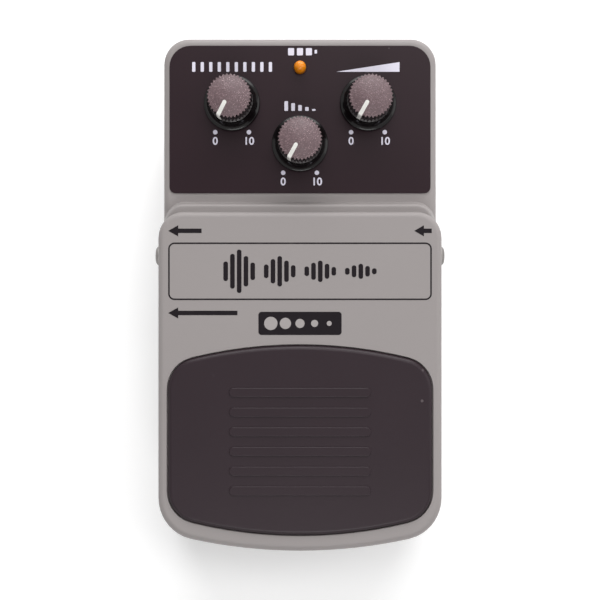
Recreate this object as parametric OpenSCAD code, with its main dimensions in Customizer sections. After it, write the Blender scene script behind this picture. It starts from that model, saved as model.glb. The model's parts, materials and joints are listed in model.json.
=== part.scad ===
/* [Case] */
// Width of the case across its side walls
case_w = 67.6; // [66:0.2:74]
// Depth of the pedal from the nose to the rear wall
case_d = 123.7; // [121:0.1:130]
// Depth of the part of the case behind the treadle
control_d = 43.7; // [43:0.1:50]
// Thickness of the case walls
case_wall = 2.2; // [1.8:0.1:2.5]
// Thickness of the control panel
panel_t = 2.4; // [1.8:0.1:3]
// Thickness of the deck under the treadle
deck_t = 2; // [1.5:0.1:2.5]
// Radius of the two rear corners in plan
rear_corner_r = 6.2; // [4:0.2:8]
// Radius of the two front corners in plan
nose_corner_r = 10; // [6:0.2:12]
// Radius of the bowed front edge in plan
nose_bow_r = 126; // [110:1:200]
// Slope of the treadle and of the control panel
slope = 12; // [10:0.5:14]
// Drop from the top of the treadle to the control panel
panel_step = 6.5; // [5.5:0.1:8]
// Radius of the rounded edge around the control panel
panel_edge_r = 1.8; // [1:0.1:2.2]

/* [Base] */
// Thickness of the rubber mat under the base
mat_t = 1.5; // [1:0.1:2.5]
// Margin of the rubber mat inside the base plate
mat_margin = 2.5; // [1.5:0.1:4]
// Thickness of the base plate
base_t = 2.5; // [2:0.1:3.5]
// Gap around the base plate
base_gap = 0.3; // [0.2:0.05:0.5]
// Radius of the base screws
base_screw_r = 1.4; // [1.1:0.1:1.6]
// Radius of the base screw heads
base_head_r = 2.6; // [2.2:0.1:2.8]

/* [Treadle] */
// How far the treadle stands out past the case on each side
treadle_overhang = 0.4; // [0.2:0.1:0.8]
// Thickness of the treadle plate
treadle_t = 2.4; // [2:0.1:3]
// Thickness of the treadle skirts
skirt_t = 2.2; // [1.8:0.1:2.4]
// Side gap between the skirts and the case
skirt_gap = 0.5; // [0.4:0.05:0.7]
// Radius of the rounded edge around the treadle
treadle_edge_r = 1.6; // [1:0.1:2]
// Gap under the tail of the treadle at rest
tail_gap = 0.3; // [0.25:0.05:0.5]
// Angle that the treadle turns when it is pressed
press_angle = 2.4; // [1.8:0.1:2.8]
// Height of the treadle that is left clear over the battery when pressed
battery_headroom = 0.55; // [0.4:0.05:1.5]

/* [Tread pad] */
// Width of the rubber pad
pad_w = 63.4; // [60:0.2:64]
// Distance from the middle of the pad's front edge to the nose of the treadle
pad_front_margin = 3.92; // [3:0.01:6]
// Distance from the middle of the pad's rear edge to the rear of the treadle
pad_rear_margin = 32.4; // [30:0.2:33]
// Radius of the bowed front and rear edges of the pad
pad_bow_r = 109; // [90:1:160]
// Radius of the corners of the pad
pad_corner_r = 7.6; // [4:0.2:9]
// Depth of the recess that the pad lies in
pad_recess = 1; // [0.6:0.1:1.2]
// Height of the pad above the treadle
pad_proud = 0.8; // [0.4:0.1:1.4]
// Gap between the pad and the side of its recess
pad_gap = 0.25; // [0.15:0.05:0.4]

/* [Hinge pins] */
// Distance from the rear edge of the treadle to the hinge axis, in plan
hinge_back = 9.1; // [8.6:0.1:9.6]
// Radius of the hinge pins
pin_r = 2.5; // [2:0.1:2.6]
// Running clearance around pins, shafts and the switch button
run_gap = 0.05; // [0.03:0.01:0.08]
// Radius of the flange that keeps a hinge pin in its boss
pin_flange_r = 3.1; // [2.9:0.1:3.3]
// Thickness of that flange
pin_flange_t = 1.2; // [0.8:0.1:1.5]
// Distance that a hinge pin stands out of the treadle
pin_proud = 1.3; // [0.8:0.1:1.5]
// Distance that a hinge pin can be pushed in
pin_travel = 3.8; // [3.7:0.1:4.2]

/* [Controls] */
// Distance of the two outer knobs from the middle
knob_spread = 16.75; // [15.5:0.05:18]
// Distance of the outer knobs from the rear edge of the panel
outer_knob_back = 16.5; // [15:0.1:16.8]
// Distance of the middle knob from the rear edge of the panel
centre_knob_back = 26.5; // [25:0.1:27]
// Radius of the knob's grip
knob_r = 5.3; // [4.8:0.05:5.6]
// Radius of the knob's base
knob_base_r = 6.9; // [6.2:0.05:7.2]
// Height of the knob above its underside
knob_h = 10.8; // [9.8:0.1:13]
// Gap between a knob and the panel overlay
knob_gap = 0.3; // [0.2:0.05:0.8]
// Number of ridges around a knob
knob_ridges = 36; // [24:2:48]
// Angle that a knob turns from one end to the other
dial_turn = 300; // [270:5:300]
// Width of the pointer line on a knob
pointer_w = 0.75; // [0.5:0.05:1.2]
// Radius of the control shafts
shaft_r = 3; // [2.5:0.1:3]
// Thickness of the panel overlay
overlay_t = 0.3; // [0.2:0.05:0.5]
// Width of the panel overlay
overlay_w = 64.4; // [60:0.2:64.6]
// Length of the panel overlay along the slope
overlay_l = 36.4; // [35:0.2:37]
// Margin of the panel overlay at the rear edge of the panel
overlay_rear_margin = 2.25; // [1.9:0.05:2.6]
// Radius of the status lamp
lamp_r = 1.5; // [1:0.1:2.5]
// Distance of the status lamp from the rear edge of the panel
lamp_back = 7.7; // [6.5:0.1:8]

/* [Sockets] */
// Radius of the bore of a jack socket
jack_bore_r = 3.2; // [3.18:0.01:3.3]
// Radius of the threaded bush of a jack socket
jack_bush_r = 4.4; // [4:0.1:4.6]
// Outer radius of a jack nut
jack_nut_r = 5.8; // [5.4:0.1:6]
// Distance that the jack nuts stand out of the case
jack_proud = 1.7; // [1.4:0.1:2]
// Distance between the two jacks in the left side
jack_pitch = 18.8; // [18:0.1:20]
// Gap between the direct jack and the battery well
jack_well_gap = 0.65; // [0.4:0.05:1]
// Radius of the opening of the power inlet
inlet_r = 2.9; // [2.8:0.05:3.1]
// Radius of the centre pin of the power inlet
inlet_pin_r = 1.05; // [1:0.05:1.25]

/* [Battery] */
// Length of the battery
battery_l = 48.5; // [47:0.1:49]
// Width of the battery
battery_w = 26.5; // [25.5:0.1:26.6]
// Thickness of the battery
battery_t = 17.5; // [16.5:0.1:18]
// Distance from the nose to the battery
battery_nose = 19.85; // [19.6:0.05:20.2]
// Gap around the battery in its well
battery_gap = 0.3; // [0.2:0.05:0.4]

/* [Boards] */
// Thickness of the circuit boards
board_t = 1.6; // [1:0.1:2]
// Height of the boards above the base plate
board_gap = 1; // [0.8:0.1:1.6]
// Half width of the main board
main_board_x = 24; // [22:0.2:24.6]

/* [Return springs] */
// Radius of a return spring over its wire
spring_r = 4.2; // [3.8:0.1:4.4]
// Diameter of the return spring wire
spring_wire = 0.9; // [0.6:0.05:1]
// Number of turns of a return spring
spring_turns = 6; // [4:1:7]
// Distance of the return springs from the middle
spring_x = 17; // [15:0.2:17.2]

/* [Hidden] */
$fn = 48;

// Colours
case_grey = [0.60, 0.58, 0.57];
rubber_black = [0.20, 0.18, 0.19];
overlay_black = [0.17, 0.14, 0.15];
knob_black = [0.16, 0.14, 0.15];
board_green = [0.10, 0.35, 0.20];
steel = [0.75, 0.75, 0.77];
brass = [0.78, 0.66, 0.35];
amber = [0.90, 0.55, 0.10];

// Plan: +X is right, +Y is the rear, and z = 0 is the ground
rear_y = case_d / 2;
nose_y = -case_d / 2;
treadle_w = case_w + 2 * treadle_overhang;
treadle_rear_y = rear_y - control_d;
hinge_y = treadle_rear_y - hinge_back;
sink = 0.3;

// Heights
case_z = mat_t;
base_top = mat_t + base_t;
well_floor_t = 1.2;
well_wall = 1.5;
well_gap = 0.2;
battery_z = base_top + well_gap + well_floor_t;
battery_top = battery_z + battery_t;
battery_front_y = nose_y + battery_nose;
well_front_y = battery_front_y - battery_gap;
well_rear_y = battery_front_y + battery_w + battery_gap;
// Height of the treadle's top face at mid depth: the pressed treadle clears the battery
tread_z = battery_top + battery_headroom + treadle_t / cos(slope)
    + (hinge_y - battery_front_y) * tan(press_angle) - battery_front_y * tan(slope);

// Height at y of the plane that lies w above the treadle's top face
function z_at(y, w) = tread_z + y * tan(slope) + w / cos(slope);
// Point [y, z] in side view, at v along the slope and w above the treadle's top face
function side_point(v, w) = [v * cos(slope) - w * sin(slope), tread_z + v * sin(slope) + w * cos(slope)];
// Distance along the slope of a point at y on the plane at w
function v_at(y, w) = (y + w * sin(slope)) / cos(slope);
// Points of an arc around c, from angle a0 to a1
function arc(c, r, a0, a1, n) = [for (i = [0:n]) c + r * [cos(a0 + (a1 - a0) * i / n), sin(a0 + (a1 - a0) * i / n)]];

// Treadle and skirts
tail_w = treadle_t + tail_gap;
skirt_x = treadle_w / 2 - skirt_t;
waist_x = skirt_x - skirt_gap;
ledge_gap = 0.6;
press_drop = (hinge_y - nose_y) * tan(press_angle);
skirt_nose_z = base_top + well_gap + case_wall + ledge_gap + press_drop;
skirt_h = (z_at(nose_y, 0) - skirt_nose_z) * cos(slope);
skirt_rear_y = hinge_y + pin_r + 2.6;
seam_y = skirt_rear_y + 0.9;
nose_swing = 1.7;
waist_nose_y = nose_y + skirt_t + nose_swing;
deck_drop = treadle_t + press_drop + 2.2;

// Ridge behind the treadle
ridge_foot = 4.2;
ridge_lean = 1.7;
ridge_edge_r = 0.9;
ridge_corner_r = 5.4;
ridge_y = treadle_rear_y + ridge_foot;
saddle_back_y = treadle_rear_y - 1.2;

// Hinge
pin_roof = 1.3;
pin_boss_r = pin_flange_r + run_gap + 1;
hinge_drop = tail_w + pin_roof + pin_flange_r;
hinge_z = z_at(hinge_y, -hinge_drop);
pin_guide_l = 4;
pin_shoulder_x = waist_x - pin_guide_l;
pin_spring_solid = 2;
pin_spring_l = pin_travel + pin_spring_solid;
pin_cap_t = 1.5;
pin_cap_x = pin_shoulder_x - pin_flange_t - pin_spring_l - pin_cap_t;
pin_wire = 0.45;
saddle_front_y = hinge_y - pin_boss_r - 1;

// Panel
panel_rear_v = v_at(rear_y, -panel_step);
overlay_w0 = -panel_step;
panel_under = -panel_step - panel_t;
outer_knob_v = panel_rear_v - outer_knob_back;
centre_knob_v = panel_rear_v - centre_knob_back;
lamp_v = panel_rear_v - lamp_back;
overlay_rear_v = panel_rear_v - overlay_rear_margin;
pot_places = [[-knob_spread, outer_knob_v], [0, centre_knob_v], [knob_spread, outer_knob_v]];
pot_bush_r = shaft_r + 0.6;
pot_hole_gap = 0.1;
pot_body_w = 9.6;
pot_body_l = 10.6;
pot_body_h = 6.8;
pot_floor_t = 2;
pot_bush_h = 2;
pot_washer_t = 0.3;
pot_nut_t = 1.3;
pot_nut_r = 4.6;
knob_w0 = overlay_w0 + overlay_t + knob_gap;
knob_flare_h = 4;
knob_shoulder_r = knob_r + 0.1;
knob_rim_h = 0.9;
knob_hollow_h = pot_bush_h + 0.3;
knob_hollow_r = pot_nut_r + 0.2;
shaft_grip = 6;
shaft_low = panel_under - pot_body_h + pot_floor_t + 0.3;
shaft_top = knob_w0 + knob_hollow_h + shaft_grip;
grip_groove = 0.35;
pointer_inner_r = 1.9;
pointer_depth = 0.4;
pointer_drop = knob_h - knob_flare_h - 0.7;
control_board_w = panel_under - pot_body_h;
dial_rest = (360 - dial_turn) / 2;

// Boards
board_z = base_top + board_gap;
board_top = board_z + board_t;
board_screw_r = 1;
board_head_r = 2;
board_post_r = 2.4;
board_end_gap = 2.4;
board_well_gap = 1.15;
main_board_front = well_rear_y + well_wall + board_well_gap;
main_board_rear = rear_y - case_wall - board_end_gap;
switch_space = 6;
switch_y = well_front_y - well_wall - switch_space;
switch_board_x = 7;
switch_board_l = 11;
chip_l = 18;
chip_w = 7.6;
chip_h = 2.4;
chip_pins = 14;
chip_pitch = 1.27;
chip_lift = 0.1;
capacitor_r = 2.5;
capacitor_h = 5.6;
capacitor_foot_t = 0.8;
capacitor_pitch_x = 6;
capacitor_pitch_y = 8;
capacitor_edge = 6.2;
capacitor_places = [
    for (row = [0, 1]) for (column = [-1:1])
        [column * capacitor_pitch_x, main_board_front + capacitor_edge + row * capacitor_pitch_y]
];

// Jacks
jack_body_l = 18;
jack_body_w = 13;
jack_body_h = 11.4;
jack_z = board_top + jack_body_h / 2;
direct_jack_y = well_rear_y + well_wall + jack_well_gap + jack_body_w / 2;
rear_jack_y = direct_jack_y + jack_pitch;
jack_face_x = case_w / 2;
jack_body_x = waist_x - case_wall - 0.2;
jack_end_x = jack_face_x + jack_proud;
jack_washer_t = 0.4;
jack_sleeve_l = 12;
jack_chamber_r = 4.6;
jack_end_wall_x = jack_body_x - jack_body_l + 1.5;
jack_hole_gap = 0.2;
// Each jack has its side, +1 for the right, and its place in depth
input_place = [1, rear_jack_y];
output_place = [-1, rear_jack_y];
direct_place = [-1, direct_jack_y];
jack_places = [input_place, output_place, direct_place];
// Joint across the case, between its front with the jacks and its rear with the panel
case_joint_y = rear_jack_y + jack_bush_r + jack_hole_gap + 1.6;

// Power inlet
inlet_w = 9.4;
inlet_h = 11;
inlet_l = 13;
inlet_nose_r = 4.5;
inlet_recess = 0.4;
inlet_z = board_top + inlet_h / 2;
inlet_depth = 10;

// Battery well
snap_t = 4.6;
snap_gap = 0.5;
terminal_h = 2.6;
terminal_r = 2.9;
terminal_offset = 6.35;
well_l = battery_l + snap_t + snap_gap + 2 * battery_gap;
battery_x = -well_l / 2 + battery_gap;
battery_mid_y = battery_front_y + battery_w / 2;
snap_w = 24;
snap_h = 12;
snap_z = battery_z + battery_t / 2;

// Switch
button_r = 2.5;
button_flange_r = 3.3;
button_gap = 0.3;
switch_side = 10;
switch_h = 6;
collar_r = 3.9;
collar_h = 2;
deck_hole_gap = 0.5;
striker_r = 3.5;
striker_h = 2.4;
striker_z = z_at(switch_y, -treadle_t) - striker_h;
button_low = board_top + 2.7;
button_top = striker_z - button_gap;

// Return springs
cup_gap = 0.5;
cup_wall = 0.9;
cup_floor_t = 1.2;
cup_depth = 7.3;
cup_z = z_at(switch_y, -deck_drop) - cup_depth;
seat_r = 5;
seat_z = z_at(switch_y, -treadle_t) - 1.2;
pilot_r = spring_r - spring_wire - 0.7;
pilot_h = 3;
spring_end_gap = 0.1;

// Base screws: x and y of the front and the rear pair
screw_boss_r = base_screw_r + 1.8;
front_screw = [waist_x - case_wall - screw_boss_r + sink, switch_y + 0.9];
rear_screw = [case_w / 2 - case_wall - screw_boss_r + sink, rear_y - 10];
base_screw_places = [for (place = [front_screw, rear_screw]) for (side = [-1, 1]) [side * place[0], place[1]]];
screw_depth = 9;
head_t = 1.5;
head_gap = 0.2;
thread_gap = 0.05;
board_screw_x = main_board_x - 3.4;
board_screw_jack = 10;
board_screw_edge = 4;
board_screw_places = [
    [-board_screw_x, rear_jack_y + board_screw_jack], [board_screw_x, rear_jack_y - board_screw_jack],
    [-board_screw_x, main_board_rear - board_screw_edge], [board_screw_x, main_board_rear - board_screw_edge]
];
switch_screw_x = switch_board_x - 2.1;
switch_screw_places = [for (side = [-1, 1]) [side * switch_screw_x, switch_y - switch_board_l / 2 + 2.1]];

// Stop bumpers under the front of the treadle
bumper_x = 26;
bumper_r = 2.5;
bumper_gap = 0.35;
bumper_v = v_at(switch_y - 0.4, -deck_drop);
bumper_top = -treadle_t - (v_at(hinge_y, -hinge_drop) - bumper_v) * tan(press_angle) - bumper_gap;

// Wires, as points chosen along their routes
lead_r = 0.6;
lead_gap = 1.7;
lead_start_y = well_rear_y - battery_gap - (battery_w - snap_w) / 2;
lead_pad_y = main_board_front + 2.8;
lead_route = [
    [24, lead_start_y, 14], [24, lead_pad_y - 5.2, 14], [24, lead_pad_y - 3.2, 13.7], [23.6, lead_pad_y - 1.6, 12.6],
    [22.6, lead_pad_y - 0.4, 11], [22, lead_pad_y, 9.4], [22, lead_pad_y, 8], [22, lead_pad_y, board_top]
];
switch_cable_z = board_z + board_t / 2;
switch_cable_x = case_w / 2 - case_wall - 1;
switch_cable_y = well_front_y - well_wall - lead_r - 0.35;
switch_cable_end = switch_y + 4.25;
switch_cable_route = [for (p = [
    [switch_board_x, switch_cable_end], [9, switch_cable_end], [16, switch_cable_y - 0.1],
    [24, switch_cable_y], [27, switch_cable_y], [28.8, switch_cable_y - 0.2],
    [switch_cable_x - 0.4, switch_cable_y + 0.2], [switch_cable_x, switch_cable_y + 1.4],
    [switch_cable_x, switch_cable_y + 9], [switch_cable_x, switch_cable_y + 18], [switch_cable_x, lead_pad_y - 7.6],
    [switch_cable_x - 0.4, lead_pad_y - 3.6], [28.6, lead_pad_y - 0.8], [26.4, lead_pad_y], [main_board_x, lead_pad_y]
]) [p[0], p[1], switch_cable_z]];

// Ribbon between the two boards
ribbon_w = 14;
ribbon_t = 0.8;
ribbon_bow = 3;
ribbon_end = 0.5;
header_w = 16;
header_l = 4;
header_h = 2.6;
ribbon_v = centre_knob_v - 9.5;
ribbon_top = side_point(ribbon_v, control_board_w - board_t - header_h / cos(slope));
ribbon_low = [ribbon_top[0], board_top + header_h];
chip_y = (ribbon_low[0] + header_l / 2 + rear_y - case_wall - inlet_l) / 2;

// Shared shapes

// Places its children on the slope: x across, y along the slope, z above the treadle's top face
module on_slope() {
    translate([0, 0, tread_z]) rotate([slope, 0, 0]) children();
}

// Extrudes a side view drawn in y and z across the width w
module across(w) {
    rotate([90, 0, 90]) translate([0, 0, -w / 2]) linear_extrude(w) children();
}

// Plan outline with a bowed nose and four rounded corners, drawn in by inset
function nose_points(w, rear, nose, rear_r, corner_r, bow_r, inset = 0, n = 8) =
    let (
        half = w / 2 - inset,
        front_r = corner_r - inset,
        back_r = max(rear_r - inset, 0.2),
        bow = bow_r - inset,
        bow_c = [0, nose + bow_r],
        corner_x = half - front_r,
        corner_y = bow_c[1] - sqrt(pow(bow - front_r, 2) - pow(corner_x, 2)),
        turn = atan2(corner_x, bow_c[1] - corner_y),
        back = [half - back_r, rear - inset - back_r]
    ) concat(
        arc(bow_c, bow, 270 - turn, 270 + turn, 2 * n),
        arc([corner_x, corner_y], front_r, 270 + turn + 90 / n, 360, n),
        arc(back, back_r, 0, 90, n),
        arc([-back[0], back[1]], back_r, 90, 180, n),
        arc([-corner_x, corner_y], front_r, 180, 270 - turn - 90 / n, n)
    );

// Closed shell of triangles through rings of points that run round the same way
module skin(rings) {
    n = len(rings[0]);
    last = len(rings) - 1;
    points = [for (ring = rings) for (p = ring) p];
    side = [
        for (k = [0:last - 1]) for (i = [0:n - 1])
            let (a = k * n + i, b = k * n + (i + 1) % n)
                each [[a, a + n, b + n], [a, b + n, b]]
    ];
    bottom = [for (i = [1:n - 2]) [0, i, i + 1]];
    top = [for (i = [1:n - 2]) [last * n, last * n + i + 1, last * n + i]];
    polyhedron(points = points, faces = concat(bottom, side, top));
}

// Inset and drop of the steps of a rounded edge of radius r, from the wall to the top
function edge_steps(r, n = 5) = [for (k = [0:n]) [r * (1 - cos(90 * k / n)), r * (1 - sin(90 * k / n))]];

// Tube of radius r swept along a route, with its end rings square to the route
function unit(v) = v / norm(v);
function heading(route, i) = unit(route[min(i + 1, len(route) - 1)] - route[max(i - 1, 0)]);
function tube_ring(c, ahead, up, r, sides) =
    let (across = unit(cross(ahead, up)), lift = cross(across, ahead))
        [for (k = [0:sides - 1]) c + r * (cos(360 * k / sides) * across - sin(360 * k / sides) * lift)];
module tube(route, up, r, sides = 8) {
    skin([for (i = [0:len(route) - 1]) tube_ring(route[i], heading(route, i), up, r, sides)]);
}

// Coil spring along +Z from z = 0, over its wire
module coil(r, wire, turns, length) {
    steps = 8 * turns;
    mid_r = r - wire / 2;
    climb = length - wire;
    route = [
        for (i = [0:steps])
            [mid_r * cos(45 * i), mid_r * sin(45 * i), wire / 2 + climb * i / steps]
    ];
    skin([
        for (i = [0:steps])
            let (
                around = [-sin(45 * i), cos(45 * i), 0],
                ahead = unit(around * mid_r * PI / 4 + [0, 0, climb / steps])
            ) tube_ring(route[i], ahead, [0, 0, 1], wire / 2, 6)
    ]);
    echo(coil_gap = climb / turns - wire);
}

// Mirrors its children to the given side of the pedal
module on_side(side) {
    mirror([side < 0 ? 1 : 0, 0, 0]) children();
}

// Cylinder along +X from x0 to x1
module rod_x(r, x0, x1) {
    translate([x0, 0, 0]) rotate([0, 90, 0]) cylinder(r = r, h = x1 - x0);
}

module at_hinge() {
    translate([0, hinge_y, hinge_z]) children();
}

module at_jack(place) {
    on_side(place[0]) translate([0, place[1], jack_z]) children();
}

// Case

module case_plan(inset) {
    polygon(nose_points(case_w, rear_y, nose_y + treadle_overhang, rear_corner_r, nose_corner_r, nose_bow_r, inset));
}

module waist_plan(inset) {
    polygon(nose_points(2 * waist_x, seam_y + 9, waist_nose_y, 0.3, nose_corner_r - 2, nose_bow_r, inset));
}

function seam_points(rear, inset, r) =
    let (x = case_w / 2 - inset, back_r = max(r - inset, 0.2), y = rear - inset - back_r)
        concat([[-x, seam_y], [x, seam_y]], arc([x - back_r, y], back_r, 0, 90, 8), arc([back_r - x, y], back_r, 90, 180, 8));

// Block behind the treadle with the control panel on top
module control_block() {
    rings = concat(
        [[for (p = seam_points(rear_y, 0, rear_corner_r)) [p[0], p[1], case_z]]],
        [
            for (s = edge_steps(panel_edge_r))
                [for (p = seam_points(rear_y, s[0], rear_corner_r)) [p[0], p[1], z_at(p[1], -panel_step - s[1])]]
        ]
    );
    skin(rings);
}

// Raised ridge that the tail of the treadle rests over, with a leaning rear face
module ridge() {
    corner_r = min(ridge_corner_r, ridge_y - seam_y - 0.2);
    steps = concat([[0, panel_step + 1 - tail_w], [ridge_lean * 0.8, ridge_edge_r + 0.4]],
        [for (s = edge_steps(ridge_edge_r, 3)) [ridge_lean + s[0], s[1]]]);
    skin([
        for (s = steps)
            [for (p = seam_points(ridge_y, s[0], corner_r)) [p[0], p[1], z_at(p[1], -tail_w - s[1])]]
    ]);
}

// Side view of the waist under the treadle, with its saddle and its lower deck drawn in
module waist_side(back, t_top, t_deck) {
    kink = (hinge_y - saddle_front_y) * tan(press_angle + 1);
    polygon([
        [nose_y, case_z - 5], [back, case_z - 5],
        [back, z_at(back, -tail_w - t_top)],
        [hinge_y, z_at(hinge_y, -tail_w - t_top)],
        [saddle_front_y + t_deck, z_at(saddle_front_y + t_deck, -tail_w - kink - t_top)],
        [saddle_front_y + t_deck, z_at(saddle_front_y + t_deck, -deck_drop - t_deck)],
        [nose_y, z_at(nose_y, -deck_drop - t_deck)]
    ]);
}

// Side view of the flange below the skirts
module flange_side(t) {
    polygon([
        [nose_y, case_z - 5], [seam_y + 6, case_z - 5],
        [seam_y + 6, z_at(seam_y + 6, -skirt_h) - ledge_gap - t],
        [hinge_y, z_at(hinge_y, -skirt_h) - ledge_gap - t],
        [nose_y, z_at(nose_y, -skirt_h) - ledge_gap - press_drop - t]
    ]);
}

module above(z) {
    translate([-case_w, -case_d, z]) cube([2 * case_w, 2 * case_d, case_d]);
}

module case_outside() {
    control_block();
    ridge();
    intersection() {
        above(case_z);
        linear_extrude(case_d) waist_plan(0);
        across(case_w) waist_side(seam_y + 1, 0, 0);
    }
    intersection() {
        above(case_z);
        linear_extrude(case_d) case_plan(0);
        across(case_w + 1) flange_side(0);
        translate([-case_w, nose_y - 1, 0]) cube([2 * case_w, seam_y + 1 - nose_y, case_d]);
    }
}

// Side view of the space inside the control block
module block_hollow_side() {
    back = rear_y - case_wall;
    front = seam_y + case_wall;
    polygon([
        [front, case_z - 5], [back, case_z - 5], [back, z_at(back, panel_under)], [front, z_at(front, panel_under)]
    ]);
}

module case_inside() {
    intersection() {
        translate([0, 0, case_z - 1]) linear_extrude(case_d) case_plan(case_wall);
        across(case_w) block_hollow_side();
    }
    intersection() {
        translate([0, 0, case_z - 1]) linear_extrude(case_d) waist_plan(case_wall);
        across(case_w) waist_side(saddle_back_y, case_wall, deck_t);
    }
    intersection() {
        translate([0, 0, case_z - 1]) linear_extrude(case_d) case_plan(case_wall);
        across(case_w) flange_side(case_wall);
    }
}

// Walls and floor of the battery well, joined to the waist and the deck
module well_block() {
    y0 = well_front_y - well_wall;
    y1 = well_rear_y + well_wall;
    z0 = battery_z - well_floor_t;
    across(2 * (waist_x - case_wall + sink))
        polygon([[y0, z0], [y1, z0], [y1, z_at(y1, -deck_drop - sink)], [y0, z_at(y0, -deck_drop - sink)]]);
}

module well_pocket() {
    translate([-well_l / 2, well_front_y, battery_z]) cube([well_l, well_rear_y - well_front_y, case_d]);
    translate([lead_route[0][0] - 2.4, well_rear_y - 1, lead_route[0][2] - 1.6]) cube([3.4, well_wall + 2, case_d]);
}

module hinge_boss() {
    at_hinge() rod_x(pin_boss_r, pin_cap_x, waist_x - case_wall + sink);
}

module hinge_boss_bore() {
    at_hinge() {
        rod_x(pin_flange_r + run_gap, pin_cap_x - 1, pin_shoulder_x);
        rod_x(pin_r + run_gap, pin_shoulder_x - 1, waist_x + 5);
    }
}

module spring_cup(r, floor_z) {
    translate([0, switch_y, floor_z]) cylinder(r = r, h = z_at(switch_y - r, -deck_drop - deck_t / 2) - floor_z);
}

module screw_bosses() {
    for (place = base_screw_places) {
        top = place[1] < 0 ? z_at(place[1] - screw_boss_r, -deck_drop - deck_t / 2) : base_top + screw_depth + 3;
        translate([place[0], place[1], base_top]) cylinder(r = screw_boss_r, h = top - base_top);
    }
}

module case_shell() {
    difference() {
        union() {
            difference() {
                case_outside();
                case_inside();
            }
            well_block();
            screw_bosses();
            for (side = [-1, 1]) on_side(side) {
                hinge_boss();
                translate([spring_x, 0, 0]) spring_cup(spring_r + cup_gap + cup_wall, cup_z - cup_floor_t);
            }
        }
        well_pocket();
        for (side = [-1, 1]) on_side(side) {
            hinge_boss_bore();
            translate([spring_x, switch_y, cup_z]) cylinder(r = spring_r + cup_gap, h = case_d);
        }
        for (place = base_screw_places)
            translate([place[0], place[1], base_top - 1]) cylinder(r = base_screw_r + thread_gap, h = screw_depth + 1);
        for (place = jack_places)
            at_jack(place) rod_x(jack_bush_r + jack_hole_gap, waist_x - case_wall - 1, case_w);
        translate([0, rear_y - case_wall - 1, inlet_z]) rotate([-90, 0, 0])
            cylinder(r = inlet_nose_r + jack_hole_gap, h = case_wall + 2);
        translate([0, switch_y, base_top + 2]) cylinder(r = striker_r + deck_hole_gap, h = case_d);
        on_slope() {
            for (place = pot_places)
                translate([place[0], place[1], panel_under - 1])
                    cylinder(r = pot_bush_r + pot_hole_gap, h = panel_t + 2);
            translate([0, lamp_v, panel_under - 1]) cylinder(r = lamp_r + run_gap, h = panel_t + 2);
        }
    }
}

// Rear of the case, with the control panel and the power inlet
module upper_case() {
    color(case_grey) intersection() {
        case_shell();
        translate([-case_w, case_joint_y, 0]) cube([2 * case_w, case_d, case_d]);
    }
}

// Front of the case, under the treadle, with the jacks, the battery well and the hinge bosses
module front_case() {
    color(case_grey) intersection() {
        case_shell();
        translate([-case_w, case_joint_y - case_d, 0]) cube([2 * case_w, case_d, case_d]);
    }
}

// Base

module base_plate() {
    color(rubber_black) difference() {
        union() {
            translate([0, 0, mat_t]) linear_extrude(base_t) case_plan(case_wall + base_gap);
            for (place = concat(board_screw_places, switch_screw_places))
                translate([place[0], place[1], base_top - sink]) cylinder(r = board_post_r, h = board_gap + sink);
        }
        for (place = base_screw_places) translate([place[0], place[1], 0]) {
            cylinder(r = base_head_r + head_gap, h = mat_t + head_t);
            cylinder(r = base_screw_r + head_gap, h = base_top + 1);
        }
        for (place = concat(board_screw_places, switch_screw_places))
            translate([place[0], place[1], mat_t + 0.8]) cylinder(r = board_screw_r + thread_gap, h = base_top);
    }
}

module base_mat() {
    color(rubber_black) difference() {
        linear_extrude(mat_t) case_plan(case_wall + base_gap + mat_margin);
        for (place = base_screw_places)
            translate([place[0], place[1], -1]) cylinder(r = base_head_r + 2 * head_gap, h = mat_t + 2);
    }
}

module base_screws() {
    color(steel) for (place = base_screw_places) translate([place[0], place[1], mat_t]) difference() {
        union() {
            cylinder(r = base_head_r, h = head_t);
            cylinder(r = base_screw_r, h = base_t + screw_depth - 1);
        }
        for (turn = [0, 90]) rotate([0, 0, turn])
            translate([-base_head_r * 0.6, -0.35, -1]) cube([base_head_r * 1.2, 0.7, 1.8]);
    }
}

// Control panel

module overlay_outline() {
    x = overlay_w / 2;
    rear_r = rear_corner_r - 1;
    front_r = 1.5;
    front_v = overlay_rear_v - overlay_l;
    polygon(concat(
        arc([x - front_r, front_v + front_r], front_r, 270, 360, 4),
        arc([x - rear_r, overlay_rear_v - rear_r], rear_r, 0, 90, 8),
        arc([rear_r - x, overlay_rear_v - rear_r], rear_r, 90, 180, 8),
        arc([front_r - x, front_v + front_r], front_r, 180, 270, 4)
    ));
}

module panel_overlay() {
    color(overlay_black) on_slope() difference() {
        translate([0, 0, overlay_w0]) linear_extrude(overlay_t) overlay_outline();
        for (place = pot_places)
            translate([place[0], place[1], overlay_w0 - 1]) cylinder(r = pot_bush_r + pot_hole_gap, h = overlay_t + 2);
        translate([0, lamp_v, overlay_w0 - 1]) cylinder(r = lamp_r + 2 * run_gap, h = overlay_t + 2);
    }
}

module pot(place) {
    color(steel) on_slope() translate([place[0], place[1], panel_under]) difference() {
        union() {
            translate([-pot_body_w / 2, -pot_body_l / 2, -pot_body_h]) cube([pot_body_w, pot_body_l, pot_body_h]);
            cylinder(r = pot_bush_r, h = panel_t + overlay_t + pot_bush_h);
        }
        translate([0, 0, -pot_body_h + pot_floor_t]) cylinder(r = shaft_r + run_gap, h = case_d);
    }
}

module pot_ring(r, t, sides) {
    difference() {
        cylinder(r = r, h = t, $fn = sides);
        translate([0, 0, -1]) cylinder(r = pot_bush_r + run_gap, h = t + 2);
    }
}

module pot_washers() {
    color(steel) on_slope() for (place = pot_places)
        translate([place[0], place[1], overlay_w0 + overlay_t]) pot_ring(pot_nut_r, pot_washer_t, 48);
}

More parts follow.
